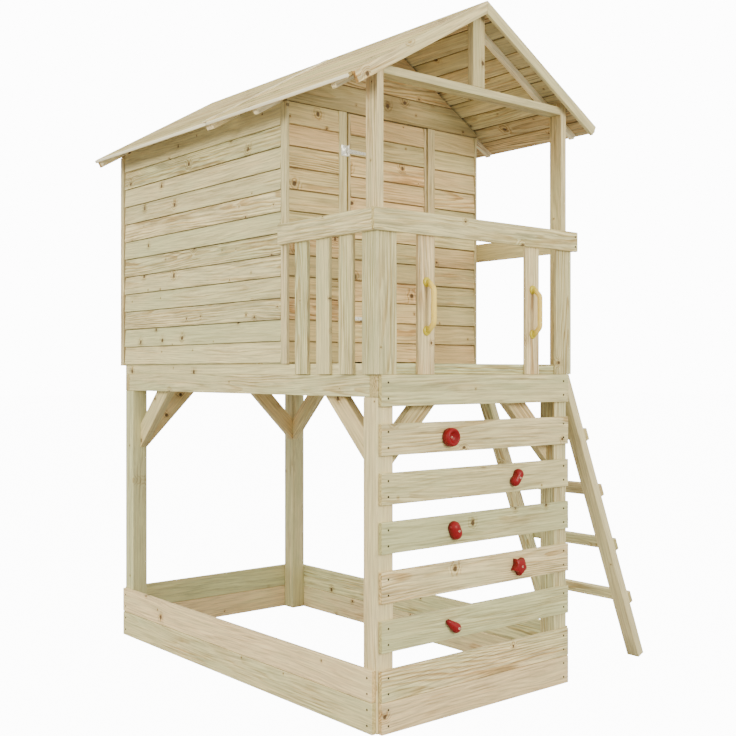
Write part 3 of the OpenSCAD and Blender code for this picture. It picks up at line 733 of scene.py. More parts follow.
class BoardRowTree(PieceTree):
    """Lays equal boards in a row."""

    INPUTS = {"Count": "Int", "First": "Vector", "Step": "Vector", "Size": "Vector", "Rows": "Int",
              "Taper": "Float", "Reveal": "Float", "Rebate": "Float", "Turn": "Float", "Play": "Float",
              "Seed": "Int"}

    def form(self) -> Socket:
        """Lay the boards, each a little off its true place."""
        pen, given = self.pen, self.given
        way = {"Count": given["Count"], "Start Location": given["First"], "Offset": given["Step"]}
        line = pen.node("GeometryNodeMeshLine", way, mode="OFFSET").outputs[0]
        reach = {"Min": (-1.0, -1.0, -1.0), "Max": (1.0, 1.0, 1.0), "Seed": given["Seed"]}
        play = pen.node("FunctionNodeRandomValue", reach, data_type="FLOAT_VECTOR").outputs[0]
        loose = pen.node("ShaderNodeVectorMath", {0: play, "Scale": given["Play"]}, operation="SCALE")
        points = pen.node("GeometryNodeSetPosition", {"Geometry": line, "Offset": loose.outputs[0]})
        return self.spread(points.outputs[0], self.board(), {2: given["Turn"]})

    def board(self) -> Socket:
        """Make one board, tapered and rebated at its outer face where the inputs ask for it."""
        pen, given = self.pen, self.given
        block = pen.node("GeometryNodeMeshCube", {"Size": given["Size"], "Vertices Z": given["Rows"]})
        tall = pen.split("XYZ", given["Size"])[2]
        _, depth, height = pen.split("XYZ", pen.node("GeometryNodeInputPosition").outputs[0])
        third = pen.math("DIVIDE", tall, 3.0)
        outer = pen.math("LESS_THAN", depth, 0.0)
        above = pen.math("GREATER_THAN", height, pen.math("MULTIPLY", third, -1.0))
        upper = pen.math("GREATER_THAN", height, 0.0)
        inner = pen.math("LESS_THAN", pen.math("ABSOLUTE", height), third)
        slant = pen.weigh((above, given["Taper"]), (upper, given["Rebate"]))
        shoulder = pen.math("SUBTRACT", pen.math("MULTIPLY", tall, 0.5), given["Reveal"])
        lift = pen.math("MULTIPLY", inner, pen.math("SUBTRACT", shoulder, height))
        push = pen.node("ShaderNodeCombineXYZ", {1: pen.math("MULTIPLY", outer, slant),
                                                 2: pen.math("MULTIPLY", outer, lift)}).outputs[0]
        return pen.node("GeometryNodeSetPosition", {"Geometry": block.outputs[0], "Offset": push}).outputs[0]


class FastenerTree(PieceTree):
    """Sets a head on each point, facing the front or turned from there."""

    INPUTS = {"Radius": "Float", "Height": "Float", "Turn": "Float", "Seed": "Int"}
    SIDES = 20
    TOP_SHARE = 0.72
    HEX_SHARE = 0.5
    SLOT_SHARES = (1.1, 0.26)
    RECESS_SHARE = 0.95

    def __init__(self, drive: Drive) -> None:
        """Build the tree for one kind of recess."""
        self.drive = drive
        super().__init__("heads_" + drive.value)

    def form(self) -> Socket:
        """Make a head with its recess and set it on the points."""
        pen, given = self.pen, self.given
        radius, height = given["Radius"], given["Height"]
        head = pen.node("GeometryNodeMeshCone", {
            "Vertices": self.SIDES, "Radius Top": pen.math("MULTIPLY", radius, self.TOP_SHARE),
            "Radius Bottom": radius, "Depth": height})
        cut = pen.node("GeometryNodeMeshBoolean", {"Mesh 1": head.outputs[0]}, operation="DIFFERENCE")
        lift = pen.node("ShaderNodeCombineXYZ", {2: pen.math("MULTIPLY", height, self.RECESS_SHARE)})
        for body in self.cutters(radius, height):
            place = pen.node("GeometryNodeTransform", {"Geometry": body, "Translation": lift.outputs[0]})
            pen.put(cut.inputs["Mesh 2"], place.outputs[0])
        spin = pen.node("FunctionNodeRandomValue", {3: math.tau, "Seed": given["Seed"]}, data_type="FLOAT")
        angles = {0: math.pi / 2, 1: spin.outputs[1], 2: given["Turn"]}
        return self.spread(given["Geometry"], cut.outputs[0], angles)

    def cutters(self, radius: Socket, height: Socket) -> list[Socket]:
        """Make the solids that cut the recess out of a head.

        Args:
            radius: The head's radius.
            height: The head's height.

        Returns:
            The cutters' geometry sockets.
        """
        pen = self.pen
        if self.drive is Drive.HEX:
            given = {"Vertices": 6, "Radius": pen.math("MULTIPLY", radius, self.HEX_SHARE), "Depth": height}
            return [pen.node("GeometryNodeMeshCylinder", given).outputs[0]]
        made = []
        for shares in (self.SLOT_SHARES, self.SLOT_SHARES[::-1]):
            sides = [pen.math("MULTIPLY", radius, share) for share in shares]
            size = pen.node("ShaderNodeCombineXYZ", dict(enumerate((*sides, height)))).outputs[0]
            made.append(pen.node("GeometryNodeMeshCube", {"Size": size}).outputs[0])
        return made


class BarTree(PieceTree):
    """Bends a round bar along each path of edges."""

    INPUTS = {"Radius": "Float", "Bend": "Float"}
    BEND_STEPS = 8
    SIDES = 20

    def form(self) -> Socket:
        """Round the corners of the paths and lay the bars along them."""
        pen, given = self.pen, self.given
        path = pen.node("GeometryNodeMeshToCurve", {0: given["Geometry"]}).outputs[0]
        turns = {"Curve": path, "Radius": given["Bend"], "Count": self.BEND_STEPS}
        bent = pen.node("GeometryNodeFilletCurve", turns, mode="POLY").outputs[0]
        round_form = {"Resolution": self.SIDES, "Radius": given["Radius"]}
        ring = pen.node("GeometryNodeCurvePrimitiveCircle", round_form).outputs[0]
        bar = {"Curve": bent, "Profile Curve": ring, "Fill Caps": True}
        return pen.node("GeometryNodeCurveToMesh", bar).outputs[0]


class Workshop:
    """Makes finished pieces and ties them to the solids that they stand for."""

    WELD = 2e-5
    FLAT = math.radians(1.0)
    SHARP = math.radians(25.0)
    SMOOTHING = 0.5

    def __init__(self) -> None:
        """Build the shared trees and read which body and slot each solid has."""
        self.rows = BoardRowTree("board_row")
        self.bars = BarTree("bent_bars")
        self.heads = {drive: FastenerTree(drive) for drive in Drive}
        bodies = frame["record"]["behaviour"]["bodies"]
        self.body = {node: body for body, nodes in bodies.items() for node in nodes}
        self.slots = {part["node"]: part["material_slot"] for part in frame["record"]["subparts"]}

    @staticmethod
    def corners(node: str) -> tuple[Vector, Vector]:
        """Return the lowest and highest corner of a node's box."""
        low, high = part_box(node)
        return Vector(low), Vector(high)

    @staticmethod
    def share(node: str, axis: int, count: int, width: float) -> float:
        """Return the share of their step that boards of one width take up in a node's box."""
        low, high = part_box(node)
        return width / ((high[axis] - low[axis] - width) / (count - 1))

    def welded(self, node: str) -> bmesh.types.BMesh:
        """Copy a solid's mesh with its points joined.

        Args:
            node: The solid's name.

        Returns:
            The mesh, which the caller frees.
        """
        mesh = bmesh.new()
        mesh.from_mesh(frame["nodes"][node].data)
        bmesh.ops.remove_doubles(mesh, verts=mesh.verts, dist=self.WELD)
        return mesh

    def solid(self, node: str) -> bpy.types.Mesh:
        """Copy a solid's mesh as whole faces.

        Args:
            node: The solid's name.

        Returns:
            The new mesh.
        """
        mesh = self.welded(node)
        bmesh.ops.dissolve_limit(mesh, angle_limit=self.FLAT, verts=mesh.verts, edges=mesh.edges)
        made = bpy.data.meshes.new(node + "_copy")
        mesh.to_mesh(made)
        mesh.free()
        return made

    def places(self, node: str) -> list[tuple[Vector, Vector]]:
        """Find the box of every separate solid in a node.

        Args:
            node: The node's name.

        Returns:
            The lowest and highest corner of each solid.
        """
        mesh = self.welded(node)
        mesh.verts.index_update()
        found = []
        for board in GrainMap.boards(mesh):
            spots = np.array([vert.co for vert in board])
            found.append((Vector(spots.min(0)), Vector(spots.max(0))))
        mesh.free()
        return found

    def front_spots(self, node: str, sunk: float) -> list[Vector]:
        """Find the middle of every separate solid in a node, a little behind its front."""
        return [Vector(((low.x + high.x) / 2, low.y + sunk, (low.z + high.z) / 2))
                for low, high in self.places(node)]

    @staticmethod
    def put_down(name: str, mesh: bpy.types.Mesh) -> bpy.types.Object:
        """Put a mesh into the scene as an object at the origin."""
        made = bpy.data.objects.new(name, mesh)
        bpy.context.scene.collection.objects.link(made)
        return made

    @staticmethod
    def settle(piece: bpy.types.Object) -> None:
        """Turn a piece with live modifiers into a plain mesh."""
        graph = bpy.context.evaluated_depsgraph_get()
        old, live = piece.data, piece.evaluated_get(graph)
        piece.data = bpy.data.meshes.new_from_object(live, preserve_all_data_layers=True, depsgraph=graph)
        piece.modifiers.clear()
        bpy.data.meshes.remove(old)

    @staticmethod
    def coat(piece: bpy.types.Object, finish: Finish) -> None:
        """Give a piece one finish all over."""
        piece.data.materials.clear()
        piece.data.materials.append(finish.material())

    def ease(self, piece: bpy.types.Object, width: float, segments: int = 2) -> None:
        """Add rounded edges to a piece.

        Args:
            piece: The piece to round.
            width: Width of the rounding.
            segments: Faces across the rounding.
        """
        piece.data.shade_smooth()
        bevel = piece.modifiers.new("eased_edges", "BEVEL")
        bevel.width = width
        bevel.segments = segments
        bevel.limit_method = "ANGLE"
        bevel.angle_limit = self.SHARP
        bevel.harden_normals = True

    @staticmethod
    def join(first: bpy.types.Object, *others: bpy.types.Object) -> bpy.types.Object:
        """Put several pieces of one finish into the first one.

        Args:
            first: The piece that stays.
            others: The pieces that go into it.

        Returns:
            The first piece.
        """
        whole = bmesh.new()
        for piece in (first, *others):
            whole.from_mesh(piece.data)
        whole.to_mesh(first.data)
        whole.free()
        for piece in others:
            bpy.data.objects.remove(piece)
        return first

    def hand_over(self, piece: bpy.types.Object, *nodes: str) -> None:
        """Tie a piece to its body and to the solids of that body that it stands for."""
        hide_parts(*nodes)
        self.add_on(piece, self.body[nodes[0]], self.slots[nodes[0]])

    @staticmethod
    def add_on(piece: bpy.types.Object, body: str, slot: str) -> None:
        """Make a piece move with a body and report it.

        Args:
            piece: The finished piece.
            body: The body that carries it.
            slot: The material slot that its finish belongs to; not used.
        """
        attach(piece, body)
        LOG.info("%s: %d faces", piece.name, len(piece.data.polygons))

    @staticmethod
    def score(piece: bpy.types.Object, height: float, width: float, depth: float) -> None:
        """Cut a fine groove along the front of an upright board.

        Args:
            piece: The board.
            height: Height of the groove.
            width: Width of the groove.
            depth: Depth of the groove.
        """
        mesh = bmesh.new()
        mesh.from_mesh(piece.data)
        for level in (height - width / 2, height, height + width / 2):
            bmesh.ops.bisect_plane(mesh, geom=[*mesh.verts, *mesh.edges, *mesh.faces], dist=1e-6,
                                   plane_co=(0.0, 0.0, level), plane_no=(0.0, 0.0, 1.0))
        front = min(vert.co.y for vert in mesh.verts)
        for vert in mesh.verts:
            if abs(vert.co.z - height) < 1e-5 and vert.co.y < front + depth:
                vert.co.y = front + depth
        mesh.to_mesh(piece.data)
        mesh.free()

    def timber(self, node: str, kind: Timber, seed: int, edge: float = 0.0025, cut: Cut = Cut.PLAIN,
               segments: int = 2) -> bpy.types.Object:
        """Dress a node's boards as eased timber.

        Args:
            node: The node whose boards are copied.
            kind: The kind of timber.
            seed: Seed for the boards' grain.
            edge: Width of the rounded edges.
            cut: How the cut edges are marked.
            segments: Faces across the rounded edges.

        Returns:
            The finished piece.
        """
        piece = self.put_down(node + "_timber", self.solid(node))
        self.ease(piece, edge, segments)
        self.settle(piece)
        GrainMap(seed).write(piece.data, cut)
        self.coat(piece, kind.value)
        self.hand_over(piece, node)
        return piece

    def row(self, name: str, count: int, first: Vector, step: Vector, size: Vector, kind: Timber, seed: int,
            profile: Profile = Profile(), turn: float = 0.0, play: float = 0.0004, edge: float = 0.0025,
            limits: Pair = NO_LIMITS) -> bpy.types.Object:
        """Lay a row of equal boards.

        Args:
            name: Name of the piece.
            count: Number of boards.
            first: Centre of the first board.
            step: From one board to the next.
            size: A board's size before it is turned.
            kind: The kind of timber.
            seed: Seed for the places and the grain.
            profile: The boards' cross section.
            turn: Turn of each board about the upright.
            play: How far a board may lie from its true place.
            edge: Width of the rounded edges.
            limits: Heights below and above which the boards are cut off.

        Returns:
            The row as a plain mesh, not yet tied to a body.
        """
        piece = self.put_down(name, bpy.data.meshes.new(name))
        self.rows.run(piece, kind.value, {
            "Count": count, "First": first, "Step": step, "Size": size, "Rows": 4 if profile.reveal else 2,
            "Taper": profile.taper, "Reveal": profile.reveal, "Rebate": profile.rebate,
            "Turn": turn, "Play": play, "Seed": seed})
        self.settle(piece)
        for vert in piece.data.vertices:
            vert.co.z = min(max(vert.co.z, limits[0]), limits[1])
        self.ease(piece, edge)
        self.settle(piece)
        GrainMap(seed).write(piece.data, Cut.LAP if profile.reveal else Cut.PLAIN, profile.reveal)
        return piece

    def box_row(self, node: str, axis: int, count: int, share: float, kind: Timber, seed: int) -> None:
        """Lay a row of boards that fills a node's box.

        Args:
            node: The node that the row stands for.
            axis: The axis that the row runs along.
            count: Number of boards.
            share: Share of the step that a board takes up.
            kind: The kind of timber.
            seed: Seed for the places and the grain.
        """
        low, high = self.corners(node)
        size = high - low
        pitch = size[axis] / (count - 1 + share)
        size[axis] = pitch * share
        step = Vector((0.0, 0.0, 0.0))
        step[axis] = pitch
        self.hand_over(self.row(node + "_timber", count, low + size / 2, step, size, kind, seed), node)

    def fasteners(self, name: str, spots: list[Vector], head: Fastener, seed: int,
                  turn: float = 0.0) -> bpy.types.Object:
        """Set a fastener's head on every spot.

        Args:
            name: Name of the piece.
            spots: Points on the outer face.
            head: The kind of head.
            seed: Seed for how the recesses are turned.
            turn: Turn about the upright, from facing the front.

        Returns:
            The heads as a plain mesh, not yet tied to a body.
        """
        mesh = bpy.data.meshes.new(name)
        mesh.from_pydata(spots, [], [])
        piece = self.put_down(name, mesh)
        values = {"Radius": head.radius, "Height": head.height, "Turn": turn, "Seed": seed}
        self.heads[head.drive].run(piece, head.finish, values)
        self.settle(piece)
        return piece

    def tubes(self, name: str, paths: list[list[Vector]], radius: float, bend: float,
              finish: Finish) -> bpy.types.Object:
        """Bend round bars along paths.

        Args:
            name: Name of the piece.
            paths: The corners of each bar's middle line.
            radius: A bar's radius.
            bend: Radius of the bends.
            finish: The bars' finish.

        Returns:
            The bars as a plain mesh, not yet tied to a body.
        """
        spots = [spot for path in paths for spot in path]
        links, start = [], 0
        for path in paths:
            links += [(start + k, start + k + 1) for k in range(len(path) - 1)]
            start += len(path)
        mesh = bpy.data.meshes.new(name)
        mesh.from_pydata(spots, links, [])
        piece = self.put_down(name, mesh)
        self.bars.run(piece, finish, {"Radius": radius, "Bend": bend})
        self.settle(piece)
        return piece

    def smooth(self, node: str, voxel: float, rounds: int, finish: Finish,
               form: bpy.types.Mesh | None = None) -> bpy.types.Object:
        """Dress a moulded node as a smooth, blended form.

        Args:
            node: The node that the form stands for.
            voxel: Size of the faces.
            rounds: Rounds of smoothing, which blend the edges.
            finish: The form's finish.
            form: The rough form, where it isn't a copy of the node.

        Returns:
            The finished piece.
        """
        piece = self.put_down(node + "_moulded", form or self.solid(node))
        skin = piece.modifiers.new("skin", "REMESH")
        skin.mode = "VOXEL"
        skin.voxel_size = voxel
        blend = piece.modifiers.new("blend", "SMOOTH")
        blend.factor = self.SMOOTHING
        blend.iterations = rounds
        self.settle(piece)
        piece.data.shade_smooth()
        self.coat(piece, finish)
        self.hand_over(piece, node)
        return piece


@dataclass
class LowerFrame:
    """Posts, rim beams, knee braces and the boards round the sandpit."""

    post_edge: float = 0.004
    pit_rows: int = 2
    pit_share: float = 0.984
    screw_in: float = 0.03
    screw_seed: int = 9
    posts: Seeded = (("post_front_left", 3856), ("post_front_right", 12), ("post_rear_left", 4505),
                     ("post_rear_right", 14))
    beams: Seeded = (("beam_front", 21), ("beam_rear", 22), ("beam_left", 5268), ("beam_right", 24))
    braces: Seeded = (("braces_ends", 31), ("braces_sides", 32))
    pits: Seeded = (("sandpit_front", 5442), ("sandpit_rear", 1339), ("sandpit_left", 1580),
                    ("sandpit_right", 1689))
    screwed: tuple[tuple[str, int, float], ...] = (("sandpit_left", 0, LEFT), ("sandpit_right", 0, RIGHT),
                                                   ("sandpit_rear", 1, BACK))

    def build(self, shop: Workshop) -> None:
        """Make and dress the lower frame."""
        for node, seed in self.posts:
            shop.timber(node, Timber.POST, seed, self.post_edge)
        for node, seed in self.beams:
            shop.timber(node, Timber.BOARD, seed)
        for node, seed in self.braces:
            shop.timber(node, Timber.BRACE, seed)
        for node, seed in self.pits:
            shop.box_row(node, 2, self.pit_rows, self.pit_share, Timber.PIT, seed)
        self.screws(shop)

    def screws(self, shop: Workshop) -> None:
        """Set two screws at both ends of each of the sandpit's side and rear boards."""
        heads = []
        for node, axis, turn in self.screwed:
            low, high = shop.corners(node)
            pitch = (high.z - low.z) / self.pit_rows
            spots = []
            for end in (low[1 - axis] + self.screw_in, high[1 - axis] - self.screw_in):
                for half in range(2 * self.pit_rows):
                    spot = Vector((end, end, low.z + (half + 0.5) * pitch / 2))
                    spot[axis] = low[axis] if turn == LEFT else high[axis]
                    spots.append(spot)
            heads.append(shop.fasteners(node + "_screws", spots, WOOD_SCREW, self.screw_seed, turn))
        shop.add_on(shop.join(*heads), "frame", "zinc")


@dataclass
class ClimbingWall:
    """The gapped boards at the front, with their holds, bolts and screws."""

    rows: int = 5
    board_h: float = 0.1255
    board_seed: int = 5893
    top_seed: int = 1769
    score_share: float = 0.46
    score_w: float = 0.0032
    score_d: float = 0.0022
    hold_voxel: float = 0.0017
    hold_rounds: int = 10
    holds: tuple[tuple[str, float], ...] = (("hold_round", 0.0), ("hold_kidney", 12.0), ("hold_oval", 0.0),
                                            ("hold_star", 0.0), ("hold_drop", 0.0))
    screw_sunk: float = 0.0008
    screw_seed: int = 5
    bolt_seed: int = 6

    def build(self, shop: Workshop) -> None:
        """Make and dress the wall."""
        share = shop.share("climbing_boards", 2, self.rows, self.board_h)
        shop.box_row("climbing_boards", 2, self.rows, share, Timber.BOARD, self.board_seed)
        top = shop.timber("front_top_board", Timber.BOARD, self.top_seed)
        low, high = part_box("front_top_board")
        shop.score(top, low[2] + self.score_share * (high[2] - low[2]), self.score_w, self.score_d)
        for node, lean in self.holds:
            piece = shop.smooth(node, self.hold_voxel, self.hold_rounds, RED_HOLD)
            low, high = shop.corners(node)
            middle = Matrix.Translation((low + high) / 2)
            piece.data.transform(middle @ Matrix.Rotation(math.radians(lean), 4, "Y") @ middle.inverted())
        spots = shop.front_spots("screws", self.screw_sunk)
        shop.hand_over(shop.fasteners("screw_heads", spots, WOOD_SCREW, self.screw_seed), "screws")
        spots = shop.front_spots("hold_bolts", HOLD_BOLT.height)
        shop.hand_over(shop.fasteners("bolt_heads", spots, HOLD_BOLT, self.bolt_seed), "hold_bolts")


@dataclass
class Deck:
    """Edge boards, joists and floor boards."""

    joists: int = 4
    joist_w: float = 0.045
    joist_seed: int = 63
    boards: int = 20
    board_share: float = 0.9518
    board_seed: int = 62
    edge_seed: int = 61

    def build(self, shop: Workshop) -> None:
        """Make and dress the deck."""
        shop.timber("deck_edges", Timber.BOARD, self.edge_seed)
        shop.box_row("floor_boards", 1, self.boards, self.board_share, Timber.BOARD, self.board_seed)
        share = shop.share("deck_joists", 0, self.joists, self.joist_w)
        shop.box_row("deck_joists", 0, self.joists, share, Timber.INNER, self.joist_seed)


@dataclass
class Balcony:
    """Upper posts, tie beam, king post, rails, slats and hand grips."""

    edge: float = 0.003
    uprights: Seeded = (("upper_posts", 601), ("tie_beam", 3360), ("king_post", 2063))
    rails: tuple[tuple[str, Timber, int], ...] = (("rail_front", Timber.RAIL, 2070),
                                                  ("rail_left", Timber.RAIL, 5144),
                                                  ("rail_right", Timber.BRACE, 83))
    slats: int = 3
    slat_w: float = 0.09
    slat_seed: int = 308
    front_slat_seed: int = 92
    corner_seed: int = 2964
    grip_voxel: float = 0.0016
    grip_rounds: int = 10
    grip_r: float = 0.0115
    grip_skin: float = 0.0003
    grip_bend: float = 0.024
    grip_rise: float = 0.03
    grip_sunk: float = 0.002
    grip_neck: float = 0.014
    foot_r: float = 0.022
    foot_t: float = 0.008
    foot_taper: float = 0.8
    foot_sides: int = 28

    def build(self, shop: Workshop) -> None:
        """Make and dress the balcony."""
        for node, seed in self.uprights:
            shop.timber(node, Timber.UPPER, seed, self.edge)
        for node, kind, seed in self.rails:
            shop.timber(node, kind, seed, self.edge)
        share = shop.share("balusters_left", 1, self.slats, self.slat_w)
        shop.box_row("balusters_left", 1, self.slats, share, Timber.SLAT, self.slat_seed)
        shop.timber("balusters_front", Timber.SLAT, self.front_slat_seed)
        shop.timber("corner_boards", Timber.RAIL, self.corner_seed)
        self.grips(shop)

    def grips(self, shop: Workshop) -> None:
        """Make the two bent hand grips with their foot plates."""
        paths, feet = [], bmesh.new()
        upright = Matrix.Rotation(math.pi / 2, 4, "X")
        for low, high in shop.places("grips"):
            x, front, back = (low.x + high.x) / 2, low.y + self.grip_r + self.grip_skin, high.y
            sunk, neck = back - self.grip_sunk, back - self.grip_neck
            ends = (low.z + self.foot_r, high.z - self.foot_r)
            inner = (ends[0] + self.grip_rise, ends[1] - self.grip_rise)
            bends = ((sunk, ends[0]), (neck, ends[0]), (front, inner[0]),
                     (front, inner[1]), (neck, ends[1]), (sunk, ends[1]))
            paths.append([Vector((x, y, z)) for y, z in bends])
            for height in ends:
                place = Matrix.Translation((x, back - self.foot_t / 2, height)) @ upright
                bmesh.ops.create_cone(feet, cap_ends=True, segments=self.foot_sides, radius1=self.foot_r,
                                      radius2=self.foot_r * self.foot_taper, depth=self.foot_t, matrix=place)
        form = shop.tubes("grip_bars", paths, self.grip_r, self.grip_bend, YELLOW_GRIP)
        feet.from_mesh(form.data)
        whole = bpy.data.meshes.new("grip_forms")
        feet.to_mesh(whole)
        feet.free()
        bpy.data.objects.remove(form)
        shop.smooth("grips", self.grip_voxel, self.grip_rounds, YELLOW_GRIP, whole)


@dataclass
class Cabin:
    """Wall frames, lap boards, gables, corner trims and the door's boards in line with them."""

    courses: int = 12
    tongue: float = 0.0007
    lap_play: float = 0.0003
    lap_edge: float = 0.0016
    side: Profile = Profile(taper=0.007, reveal=0.0042, rebate=0.0042)
    front: Profile = Profile(taper=0.007, reveal=0.0056, rebate=0.0042)
    end_gap: float = 0.005
    rear_gap: float = 0.009
    eave_rise: float = 0.014
    cap_l: float = 0.023
    cap_rise: float = 0.026
    cap_trim: Pair = (0.02, 0.04)
    cap_seed: int = 113
    gable_edge: float = 0.003
    roof_gap: float = 0.005
    frames: Seeded = (("wall_studs", 101), ("wall_plates", 102))
    trims: Seeded = (("corner_trims", 111), ("door_battens", 112))
    gables: Seeded = (("gable_front", 121), ("gable_rear", 122))
    walls: tuple[tuple[str, float, int], ...] = (("cladding_left", LEFT, 3486),
                                                 ("cladding_right", RIGHT, 132),
                                                 ("cladding_rear", BACK, 133))
    front_left_seed: int = 4626
    front_right_seed: int = 142
    door_seed: int = 153

    def build(self, shop: Workshop) -> None:
        """Make and dress the cabin."""
        for node, seed in self.frames:
            shop.timber(node, Timber.INNER, seed)
        for node, seed in self.trims:
            shop.timber(node, Timber.TRIM, seed)
        self.caps(shop)
        for node, seed in self.gables:
            # The gables take painted shade under the roof and on all their board edges.
            piece = shop.timber(node, Timber.GABLE, seed, self.gable_edge, Cut.SEAM, 1)
            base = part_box(node)[0][2] + self.roof_gap
            for vert in piece.data.vertices:
                vert.co.z -= self.roof_gap if vert.co.z > base else 0.0
        for node, turn, seed in self.walls:
            low, high = shop.corners(node)
            along = 0 if turn == BACK else 1
            low[along] += self.end_gap
            high[along] -= self.end_gap if turn == BACK else self.rear_gap
            rise = 0.0 if turn == BACK else self.eave_rise
            piece = self.lap_wall(shop, node + "_boards", low, high, turn, seed, Timber.LAP, rise=rise)
            shop.hand_over(piece, node)
        self.front_wall(shop)

    def caps(self, shop: Workshop) -> None:
        """Carry the two rear trims on the sides up to the roof."""
        size_x, size_y = self.cap_trim
        rear = [(low, high) for low, high in shop.places("corner_trims")
                if high.y - low.y < size_y and high.x - low.x < size_x]
        low, high = rear[0]
        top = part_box("cladding_left")[1][2] + self.cap_rise
        size = Vector((high.x - low.x, self.cap_l, top - high.z))
        first = Vector(((low.x + high.x) / 2, low.y + size.y / 2, high.z + size.z / 2))
        piece = shop.row("trim_caps", 2, first, rear[1][0] - low, size, Timber.TRIM, self.cap_seed)
        shop.add_on(piece, "frame", "timber")

    def front_wall(self, shop: Workshop) -> None:
        """Lay the lap boards on both sides of the doorway and on the door."""
        low, high = shop.corners("cladding_front")
        way = shop.corners("door_battens")
        # The front wall and door take the porch shade copy of the lap pine, with painted bounce light.
        left = self.lap_wall(shop, "cladding_front_boards", low, Vector((way[0].x, high.y, high.z)), 0.0,
                             self.front_left_seed, Timber.PORCH_SHADE_LAP)
        right = self.lap_wall(shop, "cladding_front_right", Vector((way[1].x, low.y, low.z)), high, 0.0,
                              self.front_right_seed, Timber.PORCH_SHADE_LAP)
        shop.hand_over(shop.join(left, right), "cladding_front")
        leaf = shop.corners("door_boards")
        low, high = Vector((leaf[0].x, leaf[0].y, low.z)), Vector((leaf[1].x, leaf[1].y, high.z))
        door = self.lap_wall(shop, "door_lap_boards", low, high, 0.0, self.door_seed, Timber.PORCH_SHADE_LAP,
                             limits=(leaf[0].z, leaf[1].z))
        shop.hand_over(door, "door_boards")

    def lap_wall(self, shop: Workshop, name: str, low: Vector, high: Vector, turn: float, seed: int,
                 kind: Timber, limits: Pair = NO_LIMITS, rise: float = 0.0) -> bpy.types.Object:
        """Lay the lap boards of one stretch of wall.

        Args:
            shop: Where the pieces are made.
            name: Name of the piece.
            low: Lowest corner of the stretch.
            high: Highest corner of the stretch.
            turn: Turn that makes the front of a board face outwards.
            seed: Seed for the places and the grain.
            kind: The kind of timber.
            limits: Heights below and above which the boards are cut off.
            rise: How much higher the top board is, where it runs up to the roof.

        Returns:
            The stretch, not yet tied to a body.
        """
        pitch = (high.z - low.z - self.tongue) / self.courses
        size = high - low
        size.z = pitch + self.tongue
        first = (low + high) / 2
        first.z = low.z + size.z / 2
        if turn in (LEFT, RIGHT):
            size.x, size.y = size.y, size.x
        step = Vector((0.0, 0.0, pitch))
        profile = self.front if kind is Timber.PORCH_SHADE_LAP else self.side
        same = {"turn": turn, "play": self.lap_play, "edge": self.lap_edge, "limits": limits}
        lower = shop.row(name, self.courses - 1, first, step, size, kind, seed, profile, **same)
        first = first + step * (self.courses - 1) + Vector((0.0, 0.0, rise / 2))
        size = size + Vector((0.0, 0.0, rise))
        last = shop.row(name + "_top", 1, first, step, size, kind, seed + 1, Profile(profile.taper), **same)
        return shop.join(lower, last)


@dataclass
class Door:
    """The door's frame and its two strap hinges."""

    members: Seeded = (("door_stiles", 151), ("door_rails", 152))
    strip_w: float = 0.013
    strip_gap: float = 0.002
    strip_back: float = 0.002
    strip_edge: float = 0.0015
    strip_seed: int = 154
    hinges: tuple[str, ...] = ("hinge_plates", "hinge_straps", "hinge_pins")
    metal_edge: float = 0.0007
    screw_sunk: float = 0.0031
    plate_in: float = 0.012
    plate_rise: float = 0.014
    plate_seed: int = 7
    strap_screws: tuple[float, ...] = (0.032, 0.07, 0.108)
    strap_seed: int = 8

    def build(self, shop: Workshop) -> None:
        """Make and dress the door and its hinges."""
        for node, seed in self.members:
            shop.timber(node, Timber.INNER, seed)
        self.strips(shop)
        for node in self.hinges:
            piece = shop.put_down(node + "_zinc", shop.solid(node))
            shop.ease(piece, self.metal_edge, 1)
            shop.settle(piece)
            shop.coat(piece, HINGE_ZINC)
            shop.hand_over(piece, node)
        self.screws(shop)

    def strips(self, shop: Workshop) -> None:
        """Set the two edge strips that close the ends of the door's lap boards."""
        low, high = shop.corners("door_boards")
        reach = self.strip_w / 2 + self.strip_gap
        size = Vector((self.strip_w, high.y - low.y - self.strip_back, high.z - low.z))
        first = Vector((low.x - reach, high.y - size.y / 2, (low.z + high.z) / 2))
        step = Vector((high.x - low.x + 2 * reach, 0.0, 0.0))
        piece = shop.row("door_edge_strips", 2, first, step, size, Timber.TRIM, self.strip_seed,
                         edge=self.strip_edge)
        shop.add_on(piece, "door", "timber")

    def screws(self, shop: Workshop) -> None:
        """Set the screws that hold the hinges."""
        spots = []
        for low, high in shop.places("hinge_plates"):
            x, y, middle = low.x + self.plate_in, high.y - self.screw_sunk, (low.z + high.z) / 2
            spots += [Vector((x, y, middle + rise)) for rise in (-self.plate_rise, self.plate_rise)]
        heads = shop.fasteners("plate_screws", spots, HINGE_SCREW, self.plate_seed)
        shop.add_on(heads, "frame", "zinc")
        spots = []
        for low, high in shop.places("hinge_straps"):
            y, middle = high.y - self.screw_sunk, (low.z + high.z) / 2
            spots += [Vector((low.x + reach, y, middle)) for reach in self.strap_screws]
        heads = shop.fasteners("strap_screws", spots, HINGE_SCREW, self.strap_seed)
        shop.add_on(heads, "door", "zinc")


